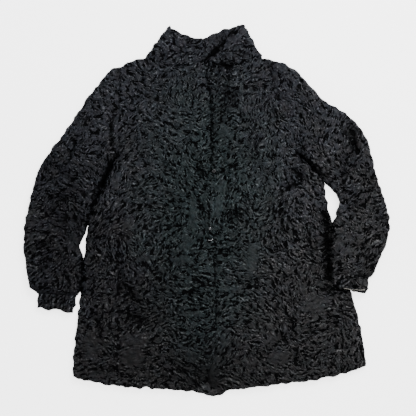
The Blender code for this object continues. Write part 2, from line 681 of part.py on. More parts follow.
def wire(name, run, closed, rest, material):
    """A bent wire with round, closed ends."""
    curve = bpy.data.curves.new(name + "_path", "CURVE")
    curve.dimensions = "3D"
    curve.bevel_depth = WIRE_RADIUS * MM
    curve.bevel_resolution = 1
    curve.use_fill_caps = not closed
    curve.resolution_u = 2
    spline = curve.splines.new("NURBS")
    spline.points.add(len(run) - 1)
    for point, (x, y, z) in zip(spline.points, run):
        point.co = (x * MM, y * MM, (rest + z) * MM, 1.0)
    spline.order_u = 3
    spline.use_endpoint_u = not closed
    spline.use_cyclic_u = closed
    curve.materials.append(material)
    piece = bpy.data.objects.new(name, curve)
    bpy.context.scene.collection.objects.link(piece)
    return piece


def make_closures(material):
    """The metal eye and the fur hook that lie in the lap."""
    rest = LAP_UNDER_TOP + LAYER_GAP + WIRE_RADIUS
    circle = []
    for step in range(10):
        angle = 2 * math.pi * step / 10
        x = EYE_PLACE[0] + EYE_RADIUS * math.cos(angle)
        circle.append((x, EYE_PLACE[1] + EYE_RADIUS * math.sin(angle), 0.0))
    wire("closure_eye_upper", circle, True, rest, material)
    wire("closure_hook_lower", HOOK_RUN, False, rest, material)


def main():
    clear_scene()
    fur = make_material("fur_black", FUR_BLACK, 0.55)
    shade = make_material("fur_back", FUR_SHADE, 0.65)
    steel = make_material("steel_wire", STEEL, 0.28, 1.0)
    lining = make_material("lining_grey", LINING_GREY, 0.6)
    make_back(shade)
    make_front_left(fur)
    make_front_right(fur)
    make_sleeve("sleeve_right", SLEEVE_RIGHT, FOLDS_SLEEVE_RIGHT, fur)
    make_sleeve("sleeve_left", SLEEVE_LEFT, FOLDS_SLEEVE_LEFT, fur)
    make_cuff("cuff_right", CUFF_RIGHT, 0.0, fur)
    make_cuff("cuff_left", CUFF_LEFT, CUFF_LIP, fur)
    make_cuff_lining(lining)
    make_collar(fur)
    make_closures(steel)


main()
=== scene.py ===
"""Looks of a curly lamb fur jacket that lies flat, its fronts lapped, its arms at its sides.

+Z is up and +Y runs from the hem to the collar. Tables and sizes are in millimetres
unless a name says otherwise, and the meshes are made in metres.
"""

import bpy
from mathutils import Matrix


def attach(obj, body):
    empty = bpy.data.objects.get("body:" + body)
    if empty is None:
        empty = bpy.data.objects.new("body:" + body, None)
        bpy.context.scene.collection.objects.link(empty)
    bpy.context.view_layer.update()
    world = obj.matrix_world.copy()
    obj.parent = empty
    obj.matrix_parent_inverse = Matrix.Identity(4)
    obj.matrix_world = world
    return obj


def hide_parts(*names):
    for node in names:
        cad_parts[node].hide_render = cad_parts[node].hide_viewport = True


bl_info = {
    "name": "Curly Lamb Jacket",
    "version": (1, 0, 0),
    "blender": (4, 5, 0),
    "location": "View3D > Sidebar > Jacket",
    "description": "Builds the fur panels, sleeves, cuffs, collar and closures of a jacket",
    "category": "Add Mesh",
}

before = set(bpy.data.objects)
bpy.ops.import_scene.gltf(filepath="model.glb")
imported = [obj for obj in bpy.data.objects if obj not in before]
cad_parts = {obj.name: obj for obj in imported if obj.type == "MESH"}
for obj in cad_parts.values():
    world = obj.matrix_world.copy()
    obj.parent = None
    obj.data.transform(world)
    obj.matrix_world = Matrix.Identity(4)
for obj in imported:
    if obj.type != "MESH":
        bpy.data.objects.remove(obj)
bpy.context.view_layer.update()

import math

import bmesh
import bpy
import numpy as np
from mathutils import Vector

MM = 0.001
BODY = "root"

# ---------------------------------------------------------------- cut of the jacket

# Layers of the laid-out body, from the table upwards.
BACK_WALL = 8.0
LAYER_GAP = 0.3
FRONT_LOW = BACK_WALL + LAYER_GAP
FRONT_WALL = 8.6

# The lap at the centre front: the wearer's right front lies over the left one.
LAP_WIDTH = 20.0
LAP_UNDER_TOP = 13.5
LAP_UNDER_EDGE_TOP = 10.8
LAP_TAPER = 8.0
LAP_FLAT_END = 46.0
LAP_RISE_END = 76.0
LAP_OVER_LOW = LAP_UNDER_TOP + LAYER_GAP
LAP_OVER_EDGE_LOW = 11.6
LAP_OVER_FULL = 16.0
LAP_OVER_STEP = 24.0
LAP_OVER_END = 32.0
LAP_OVER_TOP_RISE = 5.6
LAP_OVER_TOP_END = 70.0
LAP_NECK_RISE = 2.6

# Rounded borders: how far in from an edge the pile thins and to what height, over what
# share of the length it changes below the underarm, and the rows next to a border.
BORDER_REACH = 9.0
BORDER_EDGE = 3.0
SEAM_REACH = 4.0
SEAM_EDGE = 5.6
NECK_SEAM_EDGE = 2.8
UNDERARM_BLEND = 0.03
BORDER_STEPS = (0.0, 0.6, 1.6, 3.0, 4.6)

# How far the pile stands out past the borders, and how far in from them it leans out.
PILE_REACH = 1.4
PILE_LEAN = 5.0
NECK_TUCK = 2.5

# Sleeves, cuffs and collar band.
SLEEVE_VOID = 3.2
LIFT_RAMP = 46.0
CUFF_GATHERS = 9
CUFF_GATHER_HEIGHT = 1.3
CUFF_LIP = 9.5
CUFF_BOW = 6.3
# Painted light and shade of the cuff's gathers: lighter on the ribs, darker between them.
CUFF_RIB_SHADE = 0.45
SLEEVE_LAP = 1.6
SLEEVE_NESTLE = 1.6
TOUCHING_RIGHT = ((-34, 128), (-200, -124))
TOUCHING_LEFT = ((62, 140),)
TOUCH_OUTSIDE = 12
TOUCH_INSIDE = 4
ARMHOLE_LAP = 1.8
BACK_TUCK = 3.2
BACK_TUCK_REACH = 30.0
COLLAR_WALL = 8.0
COLLAR_GAP = 0.8
COLLAR_LIFT = 3.0
COLLAR_HEIGHT = 95.0
COLLAR_TIP_DROP = 4.0

# Seams and borders of the panels, x then y.
SIDE_RIGHT = (
    (-218.8, 355), (-223.8, 132.5), (-236.2, 110), (-253.8, 75), (-266.2, 45),
    (-278.8, 12.5), (-288.8, -12.5), (-293.8, -32.5), (-299.8, -75), (-302.2, -100),
    (-305.2, -120), (-306.2, -140), (-307.8, -175), (-313.8, -207.5), (-316.2, -235),
    (-326.2, -315), (-331.2, -365), (-333.8, -400), (-333.8, -415),
)
SIDE_LEFT = (
    (153.8, 375), (226.2, 145), (235, 136.2), (258.8, 110), (291.2, 68.8), (298.8, 25),
    (303.8, -5), (316.2, -37.5), (336.2, -115), (356.2, -195), (370, -242.5),
    (377.5, -265), (385, -302.5), (392, -350), (397.5, -375), (398.8, -388.8),
)
NECK_RIGHT = (
    (-218.8, 355), (-188.8, 370), (-152.5, 379.6), (-113.8, 365.5), (-76.2, 359.5),
    (-41.2, 363), (-3.8, 371.8),
)
NECK_LEFT = (
    (-23.8, 365.2), (-3.8, 369.8), (3.8, 371.4), (31.2, 364.2), (63.8, 359.2),
    (101.2, 366.8), (137.5, 379.2), (153.8, 375),
)
NECK_BACK = (
    (-218.8, 355), (-188.8, 370), (-152.5, 379.6), (-78.8, 369.2), (-6.2, 366.8),
    (66.2, 369.2), (137.5, 379.2), (153.8, 375),
)
HEM_RIGHT = (
    (-333.8, -415), (-306.2, -425), (-213.8, -440), (-141.2, -445), (-66.2, -450),
    (-36.2, -452.5), (-22.5, -442.5), (-13.8, -422.5),
)
HEM_LEFT = (
    (3.8, -430), (13.8, -442.5), (28.8, -448.4), (48.8, -449.0), (118.8, -442.8),
    (243.8, -427.5), (328.8, -412.5), (378.8, -396.5), (398.8, -388.8),
)
HEM_BACK = (
    (-333.8, -415), (-306.2, -424), (-213.8, -439), (-141.2, -444), (-66.2, -449),
    (-30, -452.5), (3, -463.5), (32, -463.5), (56, -449),
    (118.8, -442.5), (243.8, -426), (328.8, -411), (378.8, -395.5), (398.8, -388.8),
)
CENTRE_RIGHT = (
    (-3.8, 371.8), (-1.2, 350), (1.2, 310), (11.2, 275), (13.8, 175), (13.8, 122.5),
    (10, 95), (0, 65), (-3.8, 0), (-1.2, -75), (8.8, -105), (21.2, -130), (26.2, -225),
    (23.8, -350), (18.8, -375), (3.8, -400), (-8.8, -415), (-13.8, -422.5),
)
CENTRE_LEFT = (
    (-23.8, 365.2), (-21.2, 350), (-18.8, 310), (-8.8, 275), (-6.2, 175), (-6.2, 122.5),
    (-10, 95), (-20, 65), (-23.8, 0), (-21.2, -75), (-11.2, -105), (1.2, -130),
    (6.2, -225), (3.8, -350), (2.5, -380), (2.5, -405), (3.8, -430),
)

# Collar lines: each half of the front and the back, at the neck seam and at the top.
COLLAR_RIGHT_SEAM = (
    (-152.5, 380.4), (-113.8, 366.2), (-76.2, 360.2), (-41.2, 363.8), (-3.8, 372.5),
)
COLLAR_RIGHT_TOP = (
    (-93.8, 463.5), (-86.2, 452.5), (-68.8, 442.5), (-41.2, 432.5), (-11.2, 426.2),
)
COLLAR_BACK_SEAM = (
    (-152.5, 380.4), (-78.8, 370), (-6.2, 367.6), (66.2, 370), (137.5, 380),
)
COLLAR_BACK_TOP = (
    (-93.8, 463.5), (-86.2, 451.5), (-68.8, 441.5), (-41.2, 432.5), (-8.8, 426.2),
    (8.8, 437.8), (38.8, 450.6), (63.8, 457), (93.8, 462.6),
)
COLLAR_LEFT_SEAM = (
    (139.5, 380.6), (101.2, 367.6), (63.8, 360.2), (31.2, 364.2), (3.8, 371.0),
)
COLLAR_LEFT_TOP = ((94.4, 462.2), (86, 463.2), (77.5, 463.2))

# Sleeve rings from armhole to wrist: the arm's inner edge x, y, its outer edge x, y,
# the height of the flattened sleeve, the crown over it, the lift of its inner edge off
# the table and how wide a strip of it is lifted.
SLEEVE_RIGHT = (
    (-224.1, 132.5, -219.1, 355, 17.2, 0.0, 0.0, 0.0),
    (-232.5, 120.5, -242.5, 346.2, 20.0, 2.0, 0.0, 0.0),
    (-238.8, 109.2, -272.5, 308.8, 21.5, 3.5, 0.0, 0.0),
    (-247.2, 92.5, -301.2, 272.5, 22.0, 4.0, 0.0, 0.0),
    (-256.2, 74.2, -326.2, 235, 22.0, 4.0, 0.0, 0.0),
    (-263.2, 57.5, -351.2, 196.2, 22.5, 4.0, 0.0, 0.0),
    (-270.8, 40, -381.2, 157.5, 22.5, 3.5, 0.0, 0.0),
    (-279.8, 17.5, -408.8, 118.8, 22.5, 3.0, 0.0, 0.0),
    (-288.2, -3.8, -428, 75, 22.0, 3.0, 0.0, 0.0),
    (-294, -23.8, -438.8, 27.5, 22.0, 3.5, 0.0, 0.0),
    (-301.5, -50, -448.8, -10, 22.0, 4.0, 0.0, 0.0),
    (-316.5, -87.5, -454.5, -50, 22.0, 4.0, 0.0, 0.0),
    (-308.8, -120, -455.6, -87.5, 22.0, 4.0, 0.0, 0.0),
    (-308, -142.5, -451.2, -127.5, 22.5, 4.5, 0.0, 0.0),
    (-309.5, -172.5, -446.2, -165, 23.0, 5.0, 0.0, 0.0),
    (-314, -198, -441.2, -192.5, 22.5, 4.0, 0.0, 0.0),
    (-320.0, -205.5, -432.0, -201, 20.0, 2.0, 0.0, 0.0),
    (-324.2, -211.2, -421.2, -204.5, 16.5, 0.0, 0.0, 0.0),
)
SLEEVE_LEFT = (
    (226.6, 145, 154.2, 375, 17.2, 0.0, 0.0, 0.0),
    (237, 137, 193.8, 365.5, 20.0, 2.0, 0.0, 0.0),
    (250.8, 122, 226.2, 343.8, 21.5, 3.5, 0.0, 0.0),
    (263.8, 107, 261.2, 306.2, 22.0, 4.0, 0.0, 0.0),
    (278.8, 88, 296.2, 270, 22.0, 4.0, 0.0, 0.0),
    (296.2, 70, 336.2, 246.2, 22.5, 4.0, 0.0, 0.0),
    (313.8, 51.2, 373.8, 216.2, 22.5, 3.5, 0.0, 0.0),
    (328.8, 32.5, 398.8, 177.5, 22.5, 3.0, 3.0, 12.0),
    (330.5, 15, 412.5, 132.5, 22.0, 3.0, 8.0, 14.0),
    (322, -10, 422.5, 90, 22.0, 3.0, 17.6, 16.0),
    (315, -32.5, 436.2, 47.5, 22.0, 3.0, 17.6, 18.0),
    (311.2, -57.5, 450, 5, 22.0, 3.0, 17.6, 30.0),
    (308.8, -85, 455.6, -37.5, 22.0, 3.0, 17.6, 40.0),
    (306.2, -115, 450, -77.5, 22.0, 3.5, 17.6, 48.0),
    (304.7, -137.5, 433.8, -117.5, 22.0, 3.5, 17.6, 54.0),
    (305.8, -147, 420.6, -149, 20.0, 2.0, 17.6, 56.0),
    (307.2, -151.2, 409.6, -166.2, 17.0, 0.0, 17.6, 58.0),
)
CUFF_RIGHT = (
    (-325, -212.2, -420.5, -205.5, 12.4, 0.0, 0.0, 0.0),
    (-326.8, -220, -419.8, -211.2, 16.2, 1.0, 0.0, 0.0),
    (-329.2, -232.5, -420.8, -222.5, 16.6, 1.5, 0.0, 0.0),
    (-332.2, -245, -422.2, -232.5, 16.2, 1.0, 0.0, 0.0),
    (-334.6, -256.2, -422.2, -244.2, 13.5, 0.0, 0.0, 0.0),
)
CUFF_LEFT = (
    (307.6, -152.2, 409.0, -166.8, 13.0, 0.0, 17.6, 58.0),
    (307.5, -160, 403.6, -175.5, 16.2, 1.0, 17.6, 60.0),
    (309.2, -170, 402.4, -188, 16.2, 1.0, 17.6, 62.0),
    (312.5, -179.6, 403.6, -199.0, 14.0, 0.0, 17.6, 62.0),
)

# Soft folds: start x, y, end x, y, reach to each side, height over the cloth.
FOLDS_RIGHT = (
    (-150, -50, -170, -425, 40.0, 3.6),
    (-255, -60, -292, -400, 30.0, 3.0),
    (-100, -130, -98, -425, 22.0, -2.6),
    (-52, 150, -64, -100, 26.0, 2.6),
    (-120, 300, -60, 240, 30.0, 2.6),
    (-220, -85, -216, -162, 9.0, -3.4),
    (-216, -162, -192, -205, 9.0, -3.0),
    (-264, -280, -270, -328, 12.0, -2.6),
    (-184, -250, -180, -290, 12.0, -2.4),
)
FOLDS_LEFT = (
    (44, 350, 44, 180, 24.0, -1.6),
    (158, 188, 134, 118, 24.0, 3.4),
    (202, 25, 222, -118, 24.0, 3.8),
    (258, 112, 204, 58, 12.0, -3.8),
    (188, 40, 190, -62, 9.0, -3.2),
    (108, -50, 140, -425, 42.0, 3.8),
    (262, -100, 322, -388, 36.0, 3.2),
    (196, -225, 214, -412, 20.0, -2.8),
    (94, 240, 100, 60, 30.0, 2.2),
)
FOLDS_SLEEVE_RIGHT = (
    (-321, 182, -366, 100, 12.0, -4.4),
    (-366, 100, -391, 32, 12.0, -4.0),
    (-396, 34, -336, 32, 11.0, -3.2),
    (-341, -5, -316, -62, 11.0, -3.4),
    (-300, 190, -330, 110, 16.0, 3.0),
    (-440, 0, -395, -8, 9.0, -2.4),
    (-446, -60, -396, -64, 9.0, -2.4),
    (-444, -112, -392, -108, 9.0, -2.4),
    (-410, -86, -404, -104, 12.0, -2.8),
)
FOLDS_SLEEVE_LEFT = (
    (358, 205, 371, 150, 14.0, -5.2),
    (371, 150, 348, 88, 14.0, -5.6),
    (348, 88, 338, 45, 13.0, -4.6),
    (398, 150, 385, 60, 18.0, 3.2),
    (330, 190, 310, 130, 20.0, 3.0),
    (430, 20, 376, 6, 10.0, -2.6),
    (440, -46, 392, -56, 10.0, -2.4),
    (378, -130, 384, -104, 9.0, -2.6),
)

# Tufts of the left front that lie over the closures, laid out like the folds.
TUFTS = (
    (8.4, -52.5, 13.2, -69.5, 3.4, 5.2),
    (21.4, 98.5, 19.0, 93.6, 2.4, 3.0),
)

# Closures on the lap: wire thickness, ring size and the run of the fur hook, x, y, rise.
WIRE_RADIUS = 0.8
EYE_RADIUS = 3.2
EYE_PLACE = (18.6, 97.5)
EYE_STEPS = 10
HOOK_RUN = (
    (4.6, -75.4, 0.2), (9.0, -76.0, 0.4), (13.6, -75.4, 1.0), (16.0, -72.0, 0.6),
    (12.8, -68.0, 0.0), (9.8, -61.0, 0.2), (7.8, -52.0, 0.9), (6.4, -45.6, 1.8),
    (8.8, -43.0, 2.8), (11.2, -45.2, 3.2), (10.8, -49.2, 2.8),
)

# Lining at the open cuff: where it starts along the mouth, its rows inside in shares of
# the last stretch of cuff, how proud of the mouth it is and its rows there, its
# thickness, the rounding of its lip and the room above it.
LINING_FIRST_SHARE = 4 / 15
LINING_INSIDE = (0.7, 0.35, 0.0)
LINING_PROUD = 3.2
LINING_OUTSIDE = (0.4, 0.8, 1.0)
LINING_THICK = 1.5
LINING_ROUND = 0.35
LINING_CLEAR = 0.4
LINING_STATIONS = 60

# ------------------------------------------------------------------- looks of the fur

# How the ridges of the curls run: x, y, angle in degrees, how strictly.
CURL_FLOW = (
    (55, 430, 45, 0.9), (-110, 420, -20, 0.6), (35, 410, 45, 0.9), (105, 410, 40, 0.85),
    (75, 395, 10, 0.85), (70, 375, -10, 0.8), (120, 390, 60, 0.8),
    (-60, 400, 15, 0.55), (-20, 400, -90, 0.1), (10, 380, 35, 0.85), (105, 350, 25, 0.85),
    (-200, 330, -50, 0.85), (-150, 300, 20, 0.4), (-60, 300, -85, 0.1),
    (240, 270, -60, 0.55), (-300, 240, -10, 0.1), (90, 240, -80, 0.1), (35, 230, 30, 0.85),
    (300, 220, 85, 0.6), (345, 220, 55, 0.85), (-325, 210, 45, 0.8), (-130, 200, -5, 0.1),
    (-60, 200, -15, 0.6), (50, 190, 15, 0.8), (-330, 170, 35, 0.45), (110, 170, 80, 0.1),
    (-195, 165, 50, 0.8), (40, 160, 30, 0.8), (70, 145, 35, 0.8), (375, 140, 65, 0.8),
    (-380, 120, 80, 0.5), (55, 120, 25, 0.85), (300, 120, -45, 0.6), (-140, 110, -10, 0.45),
    (405, 110, -60, 0.85), (-315, 100, -20, 0.85), (-60, 100, -55, 0.5),
    (-85, 95, -60, 0.8), (285, 90, -40, 0.85), (-245, 85, 75, 0.85), (-340, 80, -20, 0.9),
    (410, 80, -5, 0.1), (140, 60, 80, 0.45), (-45, 55, -55, 0.85), (-420, 50, 20, 0.65),
    (-340, 50, -30, 0.9), (55, 40, 60, 0.8), (370, 40, 20, 0.45), (405, 40, 45, 0.85),
    (175, 30, 65, 0.8), (-275, 25, 60, 0.8), (-65, 20, -15, 0.85), (95, 20, -60, 0.7),
    (435, 20, 20, 0.7), (-375, 10, 35, 0.85), (-165, 10, 25, 0.9), (-130, 10, 5, 0.6),
    (-15, 10, -60, 0.85), (-190, -5, 40, 0.8), (375, -10, -50, 0.8), (-435, -20, -10, 0.85),
    (-335, -20, -45, 0.8), (230, -20, -55, 0.45), (-370, -30, -10, 0.5),
    (-60, -30, 20, 0.5), (150, -30, 50, 0.55), (-20, -40, -80, 0.6), (350, -40, -5, 0.6),
    (-440, -50, 20, 0.85), (-260, -50, 40, 0.8), (185, -50, -75, 0.85), (430, -50, 40, 0.7),
    (-110, -60, 55, 0.55), (-70, -65, 25, 0.8), (-325, -70, -50, 0.8),
    (-435, -75, 35, 0.95), (50, -90, 0, 0.55), (240, -90, -40, 0.6), (-340, -95, 30, 0.85),
    (-225, -100, -80, 0.85), (-90, -105, 75, 0.8), (-40, -110, 20, 0.6), (35, -110, 0, 0.8),
    (340, -110, 55, 0.5), (-200, -120, -60, 0.55), (400, -120, 40, 0.65),
    (-110, -140, 80, 0.1), (50, -150, -15, 0.8), (140, -150, -25, 0.55),
    (170, -150, -20, 0.8), (-410, -160, 40, 0.8), (-260, -160, 35, 0.55),
    (370, -160, -20, 0.45), (-15, -170, -10, 0.9), (-360, -180, -75, 0.1),
    (5, -180, -30, 0.8), (110, -180, 0, 0.85), (220, -180, 85, 0.55), (-50, -200, -10, 0.5),
    (-150, -220, 15, 0.55), (160, -220, -40, 0.8), (-370, -230, 45, 0.75),
    (120, -230, -25, 0.8), (225, -230, -75, 0.8), (290, -235, -25, 0.8),
    (55, -255, 15, 0.8), (-260, -260, 45, 0.45), (115, -260, -25, 0.8),
    (270, -260, 15, 0.8), (-15, -275, 0, 0.85), (-160, -290, 40, 0.8),
    (-60, -300, -15, 0.4), (270, -300, 15, 0.8), (160, -320, -45, 0.5),
    (200, -320, -60, 0.85), (290, -330, 30, 0.8), (340, -330, -75, 0.45),
    (-170, -340, 10, 0.85), (180, -350, -10, 0.9), (380, -350, -85, 0.8),
    (-265, -360, -30, 0.8), (50, -360, 45, 0.85), (-40, -380, -25, 0.85),
    (130, -380, -40, 0.8), (-290, -385, 10, 0.8), (200, -400, -20, 0.65),
    (-305, -410, 20, 0.9), (-180, -410, 5, 0.6), (140, -420, -40, 0.85),
    (60, -430, -25, 0.85),
)
CURL_FLOW_REACH = 27.0
CURL_FLOW_LEAST = 0.02

# Smooth patches of the pelts: x, y, half width, half height, how far the curls fade.
SMOOTH_PATCHES = (
    (-46, 52, 7, 13, 0.8), (-33, 24, 7, 15, 0.9), (-34, -6, 11, 18, 0.9),
    (-36, -38, 11, 20, 0.8), (-64, 14, 14, 4, 0.7), (-66, 32, 12, 4, 0.6),
    (-50, -88, 12, 26, 0.6),
    (112, -125, 12, 38, 1.0), (-178, -325, 34, 16, 0.8), (-186, -368, 30, 26, 0.8),
    (164, -322, 18, 14, 0.8), (180, -368, 26, 18, 0.9), (-286, -336, 22, 34, 0.8),
    (268, -236, 30, 26, 0.8), (-190, -38, 20, 14, 0.5), (-436, -32, 12, 16, 0.7),
    (-438, -70, 10, 10, 0.6), (-330, -84, 16, 20, 0.7), (332, -82, 10, 30, 0.9),
    (362, -72, 20, 12, 0.7), (352, -104, 20, 10, 0.6), (-36, -362, 18, 14, 0.6),
    (29, 8, 9, 26, 0.7), (60, -200, 22, 12, 0.6), (-90, -150, 20, 10, 0.4),
    (100, -380, 34, 10, 0.5), (-262, -410, 34, 10, 0.5), (40, 60, 12, 14, 0.6),
    (48, 190, 18, 14, 0.6), (-60, -125, 26, 12, 0.6), (20, -150, 20, 8, 0.5),
    (192, 356, 16, 12, 0.5), (392, -178, 16, 8, 0.6), (-150, -118, 20, 10, 0.4),
    (-228, 74, 9, 20, 0.6), (300, -226, 12, 12, 0.5), (240, -196, 18, 10, 0.5),
    (-30, -260, 22, 10, 0.6), (46, -330, 14, 18, 0.6), (300, -340, 16, 12, 0.4),
    (64, 427, 11, 10, 0.9), (49, 412, 8, 8, 0.5), (96, 448, 10, 14, 0.7),
    (-66, 420, 14, 10, 0.6), (-100, 442, 10, 10, 0.5),
)

# Hollows between the curls, pressed into the relief and darkened with painted shade: start x, y,
# end x, y, reach to each side, darkness of the painted shade.
HOLLOWS = (
    (0, 366, 4, 312, 2.8, 0.9), (4, 312, 14, 272, 2.8, 0.8), (14, 272, 15, 215, 2.6, 0.7),
    (14, 215, 14, 140, 3.2, 1.0), (9, 300, 12, 215, 2.5, 0.6), (14, 140, 10, 92, 3.0, 0.8),
    (-18, 108, -8, 82, 7.0, 0.7), (14, 96, 48, 92, 5.0, 0.6), (34, 96, 78, 122, 2.5, 0.8),
    (30, 150, 68, 163, 2.0, 0.5), (26, 128, 50, 145, 2.0, 0.5), (20, 216, 58, 222, 2.5, 0.6),
    (30, 182, 62, 178, 2.0, 0.4), (54, 362, 56, 285, 3.0, 0.6), (46, 300, 44, 240, 3.0, 0.5),
    (64, 292, 72, 286, 8.0, 0.6), (66, 275, 86, 235, 4.0, 0.5), (22, 245, 46, 238, 4.0, 0.4),
    (-97, 112, -78, 78, 3.0, 0.8), (-52, 76, -28, 36, 3.0, 0.7), (-16, 22, -10, -16, 4.0, 0.7),
    (-12, 12, 4, -14, 4.0, 0.5), (-185, -2, -150, 12, 3.0, 0.8),
    (-150, 12, -115, 14, 2.5, 0.7), (-120, 4, -92, 12, 2.0, 0.6),
    (-84, 25, -52, 20, 2.0, 1.0), (-80, 9, -44, 2, 2.0, 1.0), (-76, -4, -50, -11, 1.8, 0.8),
    (-63, 59, -54, 50, 2.0, 0.8), (-54, 50, -36, 27, 1.8, 0.9), (-30, 71, -26, 57, 2.8, 0.6),
    (-79, -25, -72, -38, 2.2, 0.8), (-72, -38, -56, -35, 2.0, 0.8), (42, 0, 36, -33, 2.2, 0.8),
    (58, 66, 46, 22, 2.5, 0.7), (96, 38, 120, 0, 3.0, 0.7),
    (62, -4, 84, -12, 6.0, 0.8), (40, -22, 78, -26, 4.0, 0.6), (188, 44, 182, -10, 3.0, 0.7),
    (189, -20, 188, -62, 3.5, 0.8), (200, 58, 232, 66, 7.0, 0.8), (222, 100, 236, 84, 7.0, 0.8),
    (166, 258, 182, 206, 2.5, 0.6), (120, 182, 122, 142, 4.0, 0.5),
    (-107, 286, -106, 262, 2.5, 0.5), (-102, 206, -72, 202, 2.0, 0.5),
    (-93, -96, -92, -154, 2.5, 0.8), (-28, -170, -4, -173, 2.5, 0.8),
    (-4, -173, 8, -184, 2.5, 0.8), (-50, -205, 4, -206, 3.0, 0.6),
    (22, -98, 62, -103, 2.5, 0.8), (-24, -100, 2, -92, 2.5, 0.6),
    (20, -76, 22, -122, 2.4, 0.7), (22, -122, 22, -190, 3.0, 0.8),
    (24, -190, 25, -300, 2.4, 0.6),
    (96, -176, 132, -172, 2.5, 0.7), (62, -204, 96, -212, 2.5, 0.7),
    (-204, -192, -184, -214, 9.0, 0.7), (-204, -256, -160, -272, 6.0, 0.7),
    (-222, -80, -221, -200, 3.0, 0.7), (-221, -200, -218, -345, 2.5, 0.6),
    (-270, -268, -264, -322, 6.0, 0.6), (186, -300, 200, -336, 4.0, 0.8),
    (206, -262, 216, -285, 5.0, 0.6), (222, -250, 224, -390, 2.5, 0.6),
    (36, -364, 58, -346, 2.5, 0.7), (-52, -382, -24, -394, 3.0, 0.6),
    (-50, -404, -20, -408, 3.0, 0.5), (176, -90, 194, -92, 6.0, 0.6),
    (260, -34, 256, -84, 4.0, 0.6), (240, -98, 285, -102, 3.0, 0.5),
    (255, -302, 300, -300, 3.0, 0.6), (262, -348, 258, -372, 4.0, 0.5),
    (330, -250, 350, -248, 5.0, 0.5), (300, -262, 330, -275, 4.0, 0.5),
    (-60, -312, -30, -318, 2.5, 0.4), (140, -358, 176, -352, 2.0, 0.6),
    (-280, -402, -200, -396, 3.0, 0.5), (-255, -368, -225, -352, 3.0, 0.5),
    (-240, -70, -246, -120, 3.0, 0.4),
    (-323, 186, -340, 125, 4.0, 0.7), (-405, 108, -395, 92, 4.0, 0.4),
    (-384, 34, -345, 30, 8.0, 0.6), (-400, 42, -384, 30, 4.0, 0.6),
    (-442, -46, -418, -50, 3.0, 0.8), (-440, -86, -420, -90, 2.5, 0.5),
    (-420, -96, -404, -84, 5.0, 0.6), (-386, 8, -376, -6, 3.0, 0.6),
    (-375, -28, -345, -26, 2.0, 0.6), (-330, 30, -310, 24, 2.5, 0.6),
    (-356, 92, -300, 84, 2.2, 0.5), (-352, 62, -330, 46, 2.5, 0.5),
    (-420, -140, -405, -160, 3.0, 0.5), (-300, 232, -296, 222, 5.0, 0.5),
    (364, 200, 368, 150, 8.0, 0.7), (368, 160, 376, 148, 6.0, 0.7),
    (352, 128, 344, 84, 6.0, 0.6), (380, 40, 418, 56, 3.0, 0.8), (380, 42, 365, 36, 3.0, 0.5),
    (371, 30, 370, -12, 4.0, 0.5), (430, -20, 446, -22, 3.0, 0.6),
    (360, -60, 420, -44, 2.5, 0.5), (340, -88, 400, -84, 3.0, 0.6),
    (378, -112, 376, -138, 3.0, 0.6), (376, -118, 412, -114, 5.0, 0.6),
    (374, -158, 396, -166, 6.0, 0.7), (322, 128, 336, 124, 3.0, 0.5),
    (388, 92, 392, 80, 5.0, 0.6), (228, 280, 240, 262, 3.0, 0.5), (336, 62, 352, 54, 4.0, 0.5),
    (-226, 140, -240, 108, 7.0, 0.8), (-240, 108, -262, 62, 10.0, 0.9),
    (-262, 62, -284, 10, 5.0, 0.8), (-284, 10, -297, -30, 4.0, 0.8),
    (-309, -128, -314, -205, 4.0, 0.8), (-219, 352, -217, 268, 3.5, 0.6),
    (-226, 262, -238, 200, 4.0, 0.6), (-238, 200, -232, 150, 4.0, 0.55),
    (230, 142, 262, 114, 6.0, 0.9), (262, 114, 290, 88, 6.0, 0.8), (290, 88, 330, 60, 3.5, 0.45),
    (158, 360, 176, 290, 5.0, 0.3), (236, 172, 238, 152, 5.0, 0.5),
    (300, -10, 300, -80, 8.0, 0.85), (300, -80, 304, -170, 8.0, 0.8),
    (302, -194, 352, -202, 6.0, 0.7),
    (-4, 373, 22, 396, 5.5, 1.0), (22, 396, 44, 418, 5.5, 1.0), (44, 418, 51, 431, 4.2, 1.0),
    (51, 431, 71, 447, 3.4, 1.0), (64, 407, 84, 410, 2.2, 0.8), (54, 400, 72, 398, 2.0, 0.7),
    (72, 398, 91, 401, 2.0, 0.7), (66, 392, 74, 385, 2.0, 0.7), (74, 385, 94, 384, 2.0, 0.7),
    (44, 385, 54, 381, 2.2, 0.7), (34, 375, 51, 370, 2.4, 0.8), (51, 370, 79, 367, 2.4, 0.8),
    (79, 367, 99, 372, 2.4, 0.8), (99, 372, 106, 380, 2.0, 0.6), (36, 362, 62, 360, 7.0, 0.8),
    (-1, 362, 14, 360, 2.6, 0.8), (14, 360, 26, 365, 2.6, 0.8), (98, 422, 112, 410, 2.0, 0.5),
    (-132, 392, -108, 384, 3.0, 0.5), (-86, 395, -66, 396, 2.4, 0.7),
    (-56, 385, -46, 389, 2.4, 0.7), (-116, 380, -101, 379, 2.2, 0.6),
    (-96, 385, -86, 375, 2.2, 0.7), (-86, 375, -74, 371, 2.2, 0.7),
    (-81, 367, -59, 355, 2.6, 0.7), (-96, 427, -76, 432, 2.0, 0.5),
    (-86, 415, -76, 416, 2.0, 0.5), (-46, 430, -34, 412, 1.8, 0.6),
    (-34, 412, -24, 402, 1.8, 0.6), (-34, 425, -21, 412, 1.8, 0.6),
)
